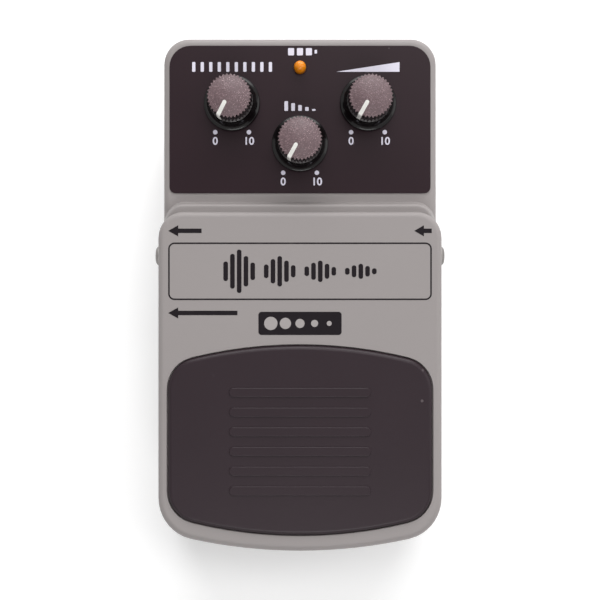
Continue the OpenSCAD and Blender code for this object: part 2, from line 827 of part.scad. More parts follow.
module pot_nuts() {
    color(steel) on_slope() for (place = pot_places)
        translate([place[0], place[1], overlay_w0 + overlay_t + pot_washer_t]) pot_ring(pot_nut_r, pot_nut_t, 6);
}

// Places its children on the axis of a control, turned to the rest position of its pointer
module at_control(place) {
    on_slope() translate([place[0], place[1], 0]) rotate([0, 0, -90 - dial_rest]) children();
}

module control_shaft(place) {
    color(steel) at_control(place) {
        translate([0, 0, shaft_low]) cylinder(r = shaft_r, h = shaft_top - run_gap - shaft_low);
    }
}

// Outline of the ridged grip: ridges and grooves around the circle
module grip_outline() {
    polygon([
        for (i = [0:4 * knob_ridges - 1])
            let (r = i % 4 < 2 ? knob_r : knob_r - grip_groove, a = 90 * i / knob_ridges)
                r * [cos(a), sin(a)]
    ]);
}

// Line on top of a knob and down its side, as far out as end_r and up to end_h
module pointer_bar(end_r, end_h) {
    side_r = knob_r - pointer_depth - grip_groove;
    translate([0, -pointer_w / 2, knob_w0]) {
        translate([pointer_inner_r, 0, knob_h - pointer_depth])
            cube([end_r - pointer_inner_r, pointer_w, end_h - knob_h + pointer_depth]);
        translate([side_r, 0, knob_h - pointer_drop]) cube([end_r - side_r, pointer_w, end_h - knob_h + pointer_drop]);
    }
}

module knob(place) {
    color(knob_black) at_control(place) difference() {
        union() {
            translate([0, 0, knob_w0 + knob_flare_h - sink]) linear_extrude(knob_h - knob_flare_h + sink) grip_outline();
            translate([0, 0, knob_w0]) rotate_extrude() polygon(concat(
                [[0, 0], [knob_base_r, 0], [knob_base_r, knob_rim_h]],
                [for (i = [1:4]) let (a = 22.5 * i)
                    [knob_base_r - (knob_base_r - knob_shoulder_r) * sin(a),
                     knob_flare_h - (knob_flare_h - knob_rim_h) * cos(a)]],
                [[0, knob_flare_h]]
            ));
        }
        translate([0, 0, knob_w0 - 1]) cylinder(r = knob_hollow_r, h = knob_hollow_h + 1);
        translate([0, 0, knob_w0]) cylinder(r = shaft_r + run_gap, h = shaft_top - knob_w0);
        pointer_bar(knob_base_r, knob_h + 1);
    }
}

module pointer(place) {
    color("white") at_control(place) pointer_bar(knob_r, knob_h);
}

module status_lamp() {
    top = overlay_w0 + overlay_t + 1;
    color(amber) on_slope() translate([0, lamp_v, 0]) {
        translate([0, 0, panel_under - 1]) cylinder(r = lamp_r + 0.4, h = 1);
        translate([0, 0, panel_under - 1]) cylinder(r = lamp_r, h = top - panel_under + 1);
        translate([0, 0, top]) intersection() {
            sphere(r = lamp_r);
            translate([-lamp_r, -lamp_r, 0]) cube([2 * lamp_r, 2 * lamp_r, lamp_r]);
        }
    }
}

module lamp_leads() {
    color(steel) on_slope() for (side = [-1, 1])
        translate([side * 0.75, lamp_v, control_board_w]) cylinder(r = 0.25, h = panel_under - 1 - control_board_w);
}

// Boards

module control_board() {
    x = knob_spread + pot_body_w / 2 + 3;
    v0 = ribbon_v - header_l;
    v1 = lamp_v + 2;
    color(board_green) on_slope() translate([-x, v0, control_board_w - board_t]) cube([2 * x, v1 - v0, board_t]);
}

module main_board() {
    color(board_green) difference() {
        translate([-main_board_x, main_board_front, board_z])
            cube([2 * main_board_x, main_board_rear - main_board_front, board_t]);
        for (place = board_screw_places)
            translate([place[0], place[1], board_z - 1]) cylinder(r = board_screw_r + thread_gap, h = board_t + 2);
    }
}

module board_screws() {
    color(steel) for (place = concat(board_screw_places, switch_screw_places))
        translate([place[0], place[1], mat_t + 1]) {
            cylinder(r = board_screw_r, h = board_top - mat_t - 1 + sink);
            translate([0, 0, board_top - mat_t - 1]) cylinder(r = board_head_r, h = 1.2);
        }
}

module delay_chip() {
    color(knob_black) {
        translate([-chip_l / 2, chip_y - chip_w / 2, board_top + chip_lift]) cube([chip_l, chip_w, chip_h]);
        for (i = [0:chip_pins - 1]) for (side = [-1, 1])
            translate([(i - (chip_pins - 1) / 2) * chip_pitch - 0.2, chip_y + side * (chip_w / 2 + 0.3) - 0.7, board_top])
                cube([0.4, 1.4, 0.6]);
    }
}

module capacitors() {
    color("dimgray") for (place = capacitor_places) translate([place[0], place[1], board_top]) difference() {
        union() {
            translate([-capacitor_r, -capacitor_r, 0]) cube([2 * capacitor_r, 2 * capacitor_r, capacitor_foot_t]);
            cylinder(r = capacitor_r - 0.1, h = capacitor_h);
        }
        translate([0, 0, 1.6]) rotate_extrude() polygon([[capacitor_r - 0.4, 0.3], [capacitor_r, 0], [capacitor_r, 0.6]]);
    }
}

// Ribbon and headers between the control board and the main board
module ribbon_headers() {
    color("ivory") {
        on_slope() translate([-header_w / 2, ribbon_v - header_l / 2, control_board_w - board_t - header_h])
            cube([header_w, header_l, header_h]);
        translate([-header_w / 2, ribbon_low[0] - header_l / 2, board_top]) cube([header_w, header_l, header_h]);
    }
}

module ribbon_cable() {
    rise = ribbon_top[1] - ribbon_low[1] - 2 * ribbon_end;
    r = (rise * rise / 4 + ribbon_bow * ribbon_bow) / (2 * ribbon_bow);
    half = asin(rise / 2 / r);
    c = [ribbon_low[0] + r - ribbon_bow, ribbon_low[1] + ribbon_end + rise / 2];
    color("gray") across(ribbon_w) polygon(concat(
        arc(c, r + ribbon_t / 2, 180 + half, 180 - half, 10),
        arc(c, r - ribbon_t / 2, 180 - half, 180 + half, 10)
    ));
}

// Sockets

module jack(place) {
    color(knob_black) at_jack(place) difference() {
        union() {
            translate([jack_body_x - jack_body_l, -jack_body_w / 2, -jack_body_h / 2])
                cube([jack_body_l, jack_body_w, jack_body_h]);
            rod_x(jack_bush_r, jack_body_x - 1, jack_end_x - 0.2);
        }
        rod_x(jack_bore_r, jack_end_x - jack_sleeve_l, case_w);
        rod_x(jack_chamber_r, jack_end_wall_x, jack_end_x - jack_sleeve_l);
    }
}

module jack_contacts() {
    strip = 0.5;
    reach = jack_end_x - jack_sleeve_l - jack_end_wall_x;
    color(brass) for (place = jack_places) at_jack(place)
        translate([jack_end_wall_x, -1, jack_bore_r + 0.3]) cube([reach * 0.7, 2, strip]);
}

module jack_ring(x0, x1, r, sides) {
    difference() {
        translate([x0, 0, 0]) rotate([0, 90, 0]) cylinder(r = r, h = x1 - x0, $fn = sides);
        rod_x(jack_bush_r + run_gap, x0 - 1, x1 + 1);
    }
}

module jack_washers() {
    color(steel) for (place = jack_places) at_jack(place)
        jack_ring(jack_face_x, jack_face_x + jack_washer_t, jack_nut_r, 48);
}

module jack_nuts() {
    color(steel) for (place = jack_places) at_jack(place)
        jack_ring(jack_face_x + jack_washer_t, jack_end_x, jack_nut_r, 6);
}

module power_inlet() {
    face = rear_y - case_wall;
    color(knob_black) translate([0, 0, inlet_z]) difference() {
        union() {
            translate([-inlet_w / 2, face - inlet_l, -inlet_h / 2]) cube([inlet_w, inlet_l, inlet_h]);
            translate([0, face - 1, 0]) rotate([-90, 0, 0])
                cylinder(r = inlet_nose_r, h = case_wall + 1 - inlet_recess);
        }
        translate([0, rear_y - inlet_recess - inlet_depth, 0]) rotate([-90, 0, 0]) cylinder(r = inlet_r, h = case_d);
    }
}

module power_pin() {
    color(steel) translate([0, rear_y - inlet_recess - inlet_depth, inlet_z]) rotate([-90, 0, 0])
        cylinder(r = inlet_pin_r, h = inlet_depth - 1);
}

// Foot switch

module switch_board() {
    color(board_green) difference() {
        translate([-switch_board_x, switch_y - switch_board_l / 2, board_z])
            cube([2 * switch_board_x, switch_board_l, board_t]);
        for (place = switch_screw_places)
            translate([place[0], place[1], board_z - 1]) cylinder(r = board_screw_r + thread_gap, h = board_t + 2);
    }
}

module switch_body() {
    color(knob_black) translate([0, switch_y, 0]) difference() {
        union() {
            translate([-switch_side / 2 + 2, -switch_side / 2 + 4, board_top])
                cube([switch_side - 4, switch_side - 4, switch_h]);
            translate([0, 0, board_top]) cylinder(r = collar_r, h = switch_h + collar_h);
        }
        translate([0, 0, board_top - 1]) cylinder(r = button_flange_r + 0.2, h = button_low + 1.2 - board_top + 1);
        cylinder(r = button_r + run_gap, h = case_d);
    }
}

module switch_button() {
    color("dimgray") translate([0, switch_y, button_low]) {
        cylinder(r = button_flange_r, h = 1);
        cylinder(r = button_r, h = button_top - button_low);
    }
}

module switch_cable() {
    color("gray") tube(switch_cable_route, [0, 0, 1], lead_r);
}

// Battery

module battery() {
    color("darkslategray") translate([battery_x, battery_front_y, battery_z]) {
        cube([battery_l, battery_w, battery_t]);
        for (side = [-1, 1]) translate([battery_l - sink, battery_w / 2 + side * terminal_offset, battery_t / 2])
            rotate([0, 90, 0]) cylinder(r = terminal_r, h = terminal_h + sink);
    }
}

module battery_snap() {
    x0 = battery_x + battery_l + snap_gap;
    color(knob_black) difference() {
        translate([x0, battery_mid_y - snap_w / 2, snap_z - snap_h / 2]) cube([snap_t, snap_w, snap_h]);
        for (side = [-1, 1]) translate([x0 - 1, battery_mid_y + side * terminal_offset, snap_z])
            rotate([0, 90, 0]) cylinder(r = terminal_r + run_gap, h = terminal_h - snap_gap + 1.2);
    }
}

module battery_lead_red() {
    color("red") tube(lead_route, [1, 0, 0], lead_r);
}

module battery_lead_black() {
    color("black") tube([for (p = lead_route) p - [lead_gap, 0, 0]], [1, 0, 0], lead_r);
}

// Treadle

function treadle_points(inset) =
    nose_points(treadle_w, treadle_rear_y, nose_y, rear_corner_r, nose_corner_r, nose_bow_r, inset);

module treadle_outside() {
    skin(concat(
        [[for (p = treadle_points(0)) [p[0], p[1], z_at(p[1], -skirt_h)]]],
        [
            for (s = edge_steps(treadle_edge_r))
                [for (p = treadle_points(s[0])) [p[0], p[1], z_at(p[1], -s[1])]]
        ]
    ));
}

// Space under the treadle plate, open at the rear behind the skirts
module treadle_hollow() {
    intersection() {
        linear_extrude(case_d)
            polygon(nose_points(2 * skirt_x, treadle_rear_y + 20, nose_y + skirt_t, 0.3, nose_corner_r - skirt_t,
                nose_bow_r - skirt_t));
        across(case_w) polygon([
            [nose_y, 0], [skirt_rear_y + sink, 0],
            [skirt_rear_y + sink, z_at(skirt_rear_y + sink, -treadle_t)], [nose_y, z_at(nose_y, -treadle_t)]
        ]);
    }
    across(2 * case_w) polygon([
        [skirt_rear_y, 0], [treadle_rear_y + 10, 0],
        [treadle_rear_y + 10, z_at(treadle_rear_y + 10, -treadle_t)], [skirt_rear_y, z_at(skirt_rear_y, -treadle_t)]
    ]);
}

// Outline of the pad on the slope: straight sides, bowed front and rear edges, round corners
function pad_points(inset, n = 6) =
    let (
        r = pad_corner_r - inset,
        bow = pad_bow_r - inset,
        front = v_at(nose_y, 0) + pad_front_margin + pad_bow_r,
        rear = v_at(treadle_rear_y, 0) - pad_rear_margin - pad_bow_r,
        x = pad_w / 2 - inset - r,
        reach = sqrt(pow(bow - r, 2) - x * x),
        turn = atan2(x, reach)
    ) concat(
        arc([0, front], bow, 270 - turn, 270 + turn, 2 * n),
        arc([x, front - reach], r, 270 + turn + 90 / n, 360, n),
        arc([x, rear + reach], r, 0, 90 - turn - 90 / n, n),
        arc([0, rear], bow, 90 - turn, 90 + turn, 2 * n),
        arc([-x, rear + reach], r, 90 + turn + 90 / n, 180, n),
        arc([-x, front - reach], r, 180, 270 - turn - 90 / n, n)
    );

module tread_pad() {
    edge_r = pad_proud * 0.9;
    color(rubber_black) on_slope() skin(concat(
        [[for (p = pad_points(0)) [p[0], p[1], -pad_recess]]],
        [for (s = edge_steps(edge_r, 3)) [for (p = pad_points(s[0])) [p[0], p[1], pad_proud - s[1]]]]
    ));
}

// Seat and pilot that hold the top of a return spring
module spring_seat() {
    translate([0, switch_y, seat_z]) cylinder(r = seat_r, h = z_at(switch_y - seat_r, -treadle_t / 2) - seat_z);
    translate([0, switch_y, seat_z - pilot_h]) cylinder(r = pilot_r, h = pilot_h + sink);
}

module treadle() {
    color(case_grey) difference() {
        union() {
            difference() {
                treadle_outside();
                treadle_hollow();
            }
            for (side = [-1, 1]) translate([side * spring_x, 0, 0]) spring_seat();
        }
        on_slope() translate([0, 0, -pad_recess]) linear_extrude(case_d) polygon(pad_points(-pad_gap));
        for (side = [-1, 1]) on_side(side) at_hinge() rod_x(pin_r + run_gap, skirt_x - 2, case_w);
    }
}

module switch_striker() {
    color(rubber_black) difference() {
        translate([0, switch_y, striker_z]) cylinder(r = striker_r, h = striker_h + 2);
        across(case_w) polygon([
            [nose_y, z_at(nose_y, -treadle_t)], [0, z_at(0, -treadle_t)], [0, case_d], [nose_y, case_d]
        ]);
    }
}

module stop_bumpers() {
    color(rubber_black) on_slope() for (side = [-1, 1])
        translate([side * bumper_x, bumper_v, -deck_drop]) cylinder(r = bumper_r, h = bumper_top + deck_drop);
}

module return_springs() {
    color(steel) for (side = [-1, 1])
        translate([side * spring_x, switch_y, cup_z + spring_end_gap])
            coil(spring_r, spring_wire, spring_turns, seat_z - cup_z - 2 * spring_end_gap);
}

// Hinge pins

module hinge_pin() {
    end_x = treadle_w / 2 + pin_proud;
    point = 0.6;
    dimple_r = 0.9;
    color(steel) at_hinge() difference() {
        union() {
            rod_x(pin_flange_r, pin_shoulder_x - pin_flange_t, pin_shoulder_x);
            rod_x(pin_r, pin_shoulder_x - sink, end_x - point);
            translate([end_x - point, 0, 0]) rotate([0, 90, 0]) cylinder(r1 = pin_r, r2 = pin_r - point, h = point);
        }
        translate([end_x - point, 0, 0]) rotate([0, 90, 0]) cylinder(r1 = 0.3, r2 = dimple_r, h = point);
    }
}

module pin_spring() {
    low = pin_cap_x + pin_cap_t + spring_end_gap;
    color(steel) at_hinge() translate([low, 0, 0]) rotate([0, 90, 0])
        coil(pin_flange_r - 0.2, pin_wire, 4, pin_spring_l - 2 * spring_end_gap);
}

module hinge_pin_caps() {
    color(knob_black) for (side = [-1, 1]) on_side(side) at_hinge()
        rod_x(pin_flange_r, pin_cap_x, pin_cap_x + pin_cap_t);
}

// Assembly

upper_case();
front_case();
base_plate();
base_mat();
base_screws();
panel_overlay();
control_board();
main_board();
board_screws();
delay_chip();
capacitors();
ribbon_cable();
ribbon_headers();
pot(pot_places[0]);  // repeat_rate_pot
pot(pot_places[1]);  // echo_pot
pot(pot_places[2]);  // intensity_pot
pot_washers();
pot_nuts();
status_lamp();
lamp_leads();
jack(input_place);  // input_jack
jack(output_place);  // output_jack
jack(direct_place);  // direct_jack
jack_contacts();
jack_washers();
jack_nuts();
power_inlet();
power_pin();
switch_board();
switch_body();
switch_button();
switch_cable();
battery();
battery_snap();
battery_lead_red();
battery_lead_black();
treadle();
tread_pad();
switch_striker();
stop_bumpers();
return_springs();
on_side(-1) hinge_pin();  // left_hinge_pin
on_side(1) hinge_pin();  // right_hinge_pin
on_side(-1) pin_spring();  // left_pin_spring
on_side(1) pin_spring();  // right_pin_spring
hinge_pin_caps();
knob(pot_places[0]);  // repeat_rate_knob
control_shaft(pot_places[0]);  // repeat_rate_shaft
pointer(pot_places[0]);  // repeat_rate_pointer
knob(pot_places[1]);  // echo_knob
control_shaft(pot_places[1]);  // echo_shaft
pointer(pot_places[1]);  // echo_pointer
knob(pot_places[2]);  // intensity_knob
control_shaft(pot_places[2]);  // intensity_shaft
pointer(pot_places[2]);  // intensity_pointer
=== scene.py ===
"""A compact delay pedal: painted shells, rubber tread, printed panel, ridged knobs and an amber lamp."""
import json
import math

import bmesh
import bpy
from mathutils import Matrix, Vector

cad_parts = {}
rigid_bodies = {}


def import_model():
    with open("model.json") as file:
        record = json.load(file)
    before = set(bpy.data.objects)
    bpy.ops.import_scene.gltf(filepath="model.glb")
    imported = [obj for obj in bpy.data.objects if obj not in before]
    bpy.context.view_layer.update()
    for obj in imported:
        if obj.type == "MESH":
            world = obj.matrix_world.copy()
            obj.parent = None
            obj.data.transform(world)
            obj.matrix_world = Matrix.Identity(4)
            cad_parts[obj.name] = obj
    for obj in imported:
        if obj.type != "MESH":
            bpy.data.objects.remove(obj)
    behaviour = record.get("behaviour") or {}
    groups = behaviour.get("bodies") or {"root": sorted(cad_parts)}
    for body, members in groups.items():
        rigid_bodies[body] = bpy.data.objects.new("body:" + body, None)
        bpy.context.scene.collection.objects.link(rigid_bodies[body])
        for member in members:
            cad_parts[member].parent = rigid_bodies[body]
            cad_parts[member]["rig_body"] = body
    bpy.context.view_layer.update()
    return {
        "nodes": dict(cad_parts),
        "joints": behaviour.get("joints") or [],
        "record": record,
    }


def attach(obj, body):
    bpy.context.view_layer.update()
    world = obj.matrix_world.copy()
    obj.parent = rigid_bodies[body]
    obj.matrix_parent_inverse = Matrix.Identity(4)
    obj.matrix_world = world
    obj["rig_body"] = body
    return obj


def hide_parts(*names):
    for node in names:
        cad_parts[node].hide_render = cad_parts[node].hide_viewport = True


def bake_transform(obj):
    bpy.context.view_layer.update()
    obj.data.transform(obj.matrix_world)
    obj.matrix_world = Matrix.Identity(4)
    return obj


MM = 0.001
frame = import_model()
nodes = frame["nodes"]
joints = {joint["name"]: joint for joint in frame["joints"]}
node_slot = {row["node"]: row["material_slot"] for row in frame["record"]["subparts"]}

# The slope of the treadle and the panel: across it, along it towards the rear, and out of it
ACROSS = Vector((1, 0, 0))
NORMAL = -Vector(joints["echo_turn"]["axis"]).normalized()
ALONG = NORMAL.cross(ACROSS)


def reach(node, direction):
    """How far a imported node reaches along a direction, in metres from the origin."""
    return max(vertex.co.dot(direction) for vertex in nodes[node].data.vertices)


TREAD_Z = reach("treadle", NORMAL) / NORMAL.z
PANEL_FACE = reach("panel_overlay", NORMAL) - TREAD_Z * NORMAL.z
PAD_FACE = reach("tread_pad", NORMAL) - TREAD_Z * NORMAL.z


def on_slope(u, v, w):
    """Matrix that stands a piece on the slope: u across, v along, w above the treadle's face, in metres."""
    place = Vector((0, 0, TREAD_Z)) + u * ACROSS + v * ALONG + w * NORMAL
    turn = Matrix((ACROSS, ALONG, NORMAL)).transposed()
    return Matrix.Translation(place) @ turn.to_4x4()


# Printed marks on the treadle, in millimetres across and along the slope
TITLE_W = 63.2
TITLE_REAR = 10.83
TITLE_FRONT = -2.97
TITLE_CORNER = 1.5
TITLE_LINE = 0.36
BADGE_V = -8.57
BADGE_W = 19.95
BADGE_L = 5.56
BADGE_CORNER = 0.75
MARK_EDGE = 31.6
MARK_H = 2.66
OUT_V = 13.63
OUT_L = 8.0
IN_L = 4.2
DIRECT_V = -6.07
DIRECT_L = 16.6
INK_T = 0.03
BEAT = (0.45, 0.8, 1.0, 0.7, 0.4)
BEAT_COUNT = 4
BEAT_FADE = 0.7
BAR_W = 1.1
BAR_H = 10.4
BAR_LEAST = 1.2
BAR_CORNER = 0.5
BAR_PITCH = 1.62
SPOT_RADII = (1.6, 1.35, 1.1, 0.85, 0.6)
SPOT_PITCH = 3.5

# Printed marks on the panel
LABEL_H = 2.4
OUTER_LABEL_V = 54.35
CENTRE_LABEL_V = 44.7
LAMP_LABEL_V = 58.1
LAMP_LABEL_H = 1.8
DOT_R = 0.56
DOT_U = 4.15
DOT_V = -7.1
FIGURE_V = -9.35
FIGURE_H = 1.85
FIGURE_FONT = 1.42
FIGURE_BOLD = 0.06
TICK_COUNT = 10
TICK_W = 0.8
TICK_PITCH = 2.1
ROW_COUNT = 5
ROW_W = 0.9
ROW_PITCH = 1.7
SIGN_CORNER = 0.2
WEDGE_HALF = 7.8
CELL_COUNT = 3
CELL_W = 1.5
CELL_PITCH = 2.2
CELL_TIP_U = 3.9
CELL_TIP_W = 0.6

# Pad
PAD_HALF_W = reach("tread_pad", ACROSS) / MM
PAD_REAR = (reach("tread_pad", ALONG) - TREAD_Z * ALONG.z) / MM
PAD_FRONT = -(reach("tread_pad", -ALONG) + TREAD_Z * ALONG.z) / MM
PAD_BOW = 109
PAD_CORNER = 7.6
PAD_RECESS = 0.95
PAD_EDGE = 1.15
RIB_COUNT = 6
RIB_L = 34
RIB_W = 2.3
RIB_PITCH = 4.7
RIB_H = 0.28
RIB_MID = -36.8

# Knobs
RIDGES = 36
GRIP_R = 5.3
GRIP_GROOVE = 0.52
CROWN = 1.2
CROWN_R = 4.62
CROWN_EDGE = 0.42
SKIRT_R = 6.9
SKIRT_RIM = 0.9
LIP_R = 0.3
FOOT_EDGE = 0.25
STEP_H = 0.4
STEP_W = 0.03
CORE_INSET = 0.2
RIDGE_TURN = 0.7
FROST_DROP = 2
FROST_TILT = 0.35
FLARE_H = 4
HOLLOW_R = 4.8
HOLLOW_H = 2.3
SHAFT_R = 3.05
SHAFT_TOP = 10.1
POINTER_W = 0.95
POINTER_T = 0.55
POINTER_INNER = 1.5
POINTER_DROP = 6.5
POINTER_PROUD = 0.05

# Lamp
LAMP_R = 1.5
LAMP_RISE = 1.0
LAMP_FLANGE = 0.4

# Camera, as the photograph was taken
EYE_V = 3.04
EYE_RISE = 217
LENS = 54.3
VIEW_SHIFT = -0.0417

# Studio
AMBIENT = 0.25
FLOOR_GLOW = 0.22
FLOOR_SIZE = 2
FLOOR_Z = -0.0002
LAMP_AIM = (0, 0, 0.03)
LAMPS = {
    "rear_key": ((0.08, 0.95, 0.66), 1.3, 0.7, 13),
    "top_fill": ((0.12, 0.28, 1.0), 0.7, 0.4, 2.4),
    "front_fill": ((0.05, -0.85, 0.8), 0.6, 0.35, 3.8),
    "right_fill": ((0.6, 0.0, 0.5), 0.4, 0.7, 1.2),
}


# Selecting and shaping

def only(piece):
    """Leaves a piece as the one that is selected and active."""
    bpy.ops.object.select_all(action="DESELECT")
    piece.select_set(True)
    bpy.context.view_layer.objects.active = piece


def edit(piece, kind):
    """Opens a piece in edit mode with nothing selected."""
    only(piece)
    bpy.ops.object.mode_set(mode="EDIT")
    bpy.ops.mesh.select_mode(type=kind)
    bpy.ops.mesh.select_all(action="DESELECT")


def leave():
    bpy.ops.object.mode_set(mode="OBJECT")


def pick_edges(piece, test):
    """Selects the edges whose two ends pass a test."""
    bpy.ops.mesh.select_mode(type="EDGE")
    bpy.ops.mesh.select_all(action="DESELECT")
    mesh = bmesh.from_edit_mesh(piece.data)
    for edge in mesh.edges:
        if test(edge.verts[0].co, edge.verts[1].co):
            edge.select_set(True)
    bmesh.update_edit_mesh(piece.data)


def name_active(name):
    piece = bpy.context.view_layer.objects.active
    piece.name = name
    return piece


def apply_modifier(piece, modifier):
    only(piece)
    bpy.ops.object.modifier_apply(modifier=modifier.name)


def smooth(piece, angle=35):
    """Smooth shading that keeps flat faces flat and edges sharper than the angle crisp."""
    only(piece)
    bpy.ops.object.shade_smooth_by_angle(angle=math.radians(angle))
    weights = piece.modifiers.new("flat_faces", "WEIGHTED_NORMAL")
    weights.keep_sharp = True
    apply_modifier(piece, weights)


def soften(piece, width, segments, angle=40):
    """Rounds the edges that are sharper than the angle."""
    rounding = piece.modifiers.new("soft_edges", "BEVEL")
    rounding.width = width * MM
    rounding.segments = segments
    rounding.limit_method = "ANGLE"
    rounding.angle_limit = math.radians(angle)
    apply_modifier(piece, rounding)


def cut_or_join(piece, other, operation):
    """Takes another piece away from a piece, or makes the two one solid."""
    step = piece.modifiers.new("solids", "BOOLEAN")
    step.operation = operation
    step.solver = "EXACT"
    step.object = other
    apply_modifier(piece, step)
    bpy.data.objects.remove(other)


def join(pieces, name):
    """Makes several pieces one object."""
    bpy.ops.object.select_all(action="DESELECT")
    for piece in pieces:
        piece.select_set(True)
    bpy.context.view_layer.objects.active = pieces[0]
    if len(pieces) > 1:
        bpy.ops.object.join()
    return name_active(name)


def set_down(piece, place):
    """Moves a piece modelled at the origin to its place, and leaves the place in its mesh."""
    piece.matrix_world = place
    only(piece)
    bpy.ops.object.transform_apply(location=True, rotation=True, scale=True)


def arc(centre, radius, start, end, steps):
    """Points of an arc, in degrees."""
    angles = [math.radians(start + (end - start) * i / steps) for i in range(steps + 1)]
    return [(centre[0] + radius * math.cos(a), centre[1] + radius * math.sin(a)) for a in angles]


def round_box(w, h, r, steps=6):
    """Outline of a box with round corners, around the origin."""
    x = w / 2 - r
    y = h / 2 - r
    return (arc((x, y), r, 0, 90, steps) + arc((-x, y), r, 90, 180, steps)
            + arc((-x, -y), r, 180, 270, steps) + arc((x, -y), r, 270, 360, steps))


def flat_face(name, outline):
    """A flat face with the outline, in millimetres, shaped from a filled circle."""
    bpy.ops.object.select_all(action="DESELECT")
    bpy.ops.mesh.primitive_circle_add(vertices=len(outline), radius=MM, fill_type="NGON")
    piece = name_active(name)
    for vertex, (x, y) in zip(piece.data.vertices, outline):
        vertex.co = (x * MM, y * MM, 0)
    return piece


def extrude_up(piece, height):
    edit(piece, "FACE")
    bpy.ops.mesh.select_all(action="SELECT")
    bpy.ops.mesh.extrude_region_move(TRANSFORM_OT_translate={"value": (0, 0, height * MM)})
    bpy.ops.mesh.select_all(action="SELECT")
    bpy.ops.mesh.normals_make_consistent(inside=False)
    leave()


def plate(name, outline, height):
    """A flat plate with the outline and a thickness, in millimetres, standing on its origin."""
    piece = flat_face(name, outline)
    extrude_up(piece, height)
    return piece


def lathe(name, profile, steps):
    """A turned piece: the profile of radii and heights, in millimetres, spun around the Z axis."""
    bpy.ops.object.select_all(action="DESELECT")
    bpy.ops.mesh.primitive_circle_add(vertices=len(profile), radius=MM, fill_type="NOTHING")
    piece = name_active(name)
    for vertex, (radius, height) in zip(piece.data.vertices, profile):
        vertex.co = (radius * MM, 0, height * MM)
    edit(piece, "EDGE")
    pick_edges(piece, lambda a, b: max(a.x, b.x) < 1e-7)
    bpy.ops.mesh.delete(type="EDGE_FACE")
    bpy.ops.mesh.select_all(action="SELECT")
    bpy.ops.mesh.spin(steps=steps, angle=2 * math.pi, center=(0, 0, 0), axis=(0, 0, 1), use_auto_merge=True)
    bpy.ops.mesh.select_all(action="SELECT")
    bpy.ops.mesh.remove_doubles(threshold=1e-6)
    bpy.ops.mesh.normals_make_consistent(inside=False)
    leave()
    return piece


# Finishes

def light_value(c):
    """One screen value of a colour, as the shader's light value."""
    return ((c / 255 + 0.055) / 1.055) ** 2.4 if c > 10 else c / 255 / 12.92


def colour(r, g, b):
    """A colour given as it looks on a screen, as the shader's light values."""
    return (light_value(r), light_value(g), light_value(b), 1)


def new_group(name, inputs, outputs):
    """A shader node group with its sockets: each is a name, a kind and, for inputs, a value."""
    group = bpy.data.node_groups.new(name, "ShaderNodeTree")
    for label, kind, value in inputs:
        socket = group.interface.new_socket(label, in_out="INPUT", socket_type=kind)
        socket.default_value = value
    for label, kind in outputs:
        group.interface.new_socket(label, in_out="OUTPUT", socket_type=kind)
    return group, group.nodes.new("NodeGroupInput"), group.nodes.new("NodeGroupOutput")


def math_node(tree, operation, first, second):
    """A math node on two sockets or numbers."""
    step = tree.nodes.new("ShaderNodeMath")
    step.operation = operation
    for socket, value in zip(step.inputs, (first, second)):
        if isinstance(value, (int, float)):
            socket.default_value = value
        else:
            tree.links.new(value, socket)
    return step.outputs[0]


def make_tone_drift():
    """Slow changes of tone over a surface, for its colour and its roughness."""
    group, given, result = new_group(
        "tone_drift",
        [("Colour", "NodeSocketColor", (0.5, 0.5, 0.5, 1)), ("Amount", "NodeSocketFloat", 0.05),
         ("Scale", "NodeSocketFloat", 60), ("Roughness", "NodeSocketFloat", 0.5)],
        [("Colour", "NodeSocketColor"), ("Roughness", "NodeSocketFloat")])
    place = group.nodes.new("ShaderNodeTexCoord")
    noise = group.nodes.new("ShaderNodeTexNoise")
    noise.inputs["Detail"].default_value = 4
    group.links.new(place.outputs["Object"], noise.inputs["Vector"])
    group.links.new(given.outputs["Scale"], noise.inputs["Scale"])
    centred = math_node(group, "SUBTRACT", noise.outputs["Fac"], 0.5)
    swing = math_node(group, "MULTIPLY", centred, given.outputs["Amount"])
    value = math_node(group, "ADD", swing, 1)
    tone = group.nodes.new("ShaderNodeHueSaturation")
    group.links.new(given.outputs["Colour"], tone.inputs["Color"])
    group.links.new(value, tone.inputs["Value"])
    group.links.new(tone.outputs["Color"], result.inputs["Colour"])
    rough = math_node(group, "MULTIPLY", given.outputs["Roughness"], value)
    group.links.new(rough, result.inputs["Roughness"])
    return group


def make_grain():
    """Fine grain of a moulded or sprayed skin, as a height."""
    group, given, result = new_group(
        "grain",
        [("Scale", "NodeSocketFloat", 4000), ("Coarse", "NodeSocketFloat", 0.3)],
        [("Height", "NodeSocketFloat")])
    place = group.nodes.new("ShaderNodeTexCoord")
    fine = group.nodes.new("ShaderNodeTexNoise")
    fine.inputs["Detail"].default_value = 3
    fine.inputs["Roughness"].default_value = 0.6
    wide = group.nodes.new("ShaderNodeTexNoise")
    wide.inputs["Detail"].default_value = 2
    group.links.new(place.outputs["Object"], fine.inputs["Vector"])
    group.links.new(place.outputs["Object"], wide.inputs["Vector"])
    group.links.new(given.outputs["Scale"], fine.inputs["Scale"])
    group.links.new(math_node(group, "MULTIPLY", given.outputs["Scale"], 0.2), wide.inputs["Scale"])
    share = math_node(group, "MULTIPLY", wide.outputs["Fac"], given.outputs["Coarse"])
    group.links.new(math_node(group, "ADD", fine.outputs["Fac"], share), result.inputs["Height"])
    return group


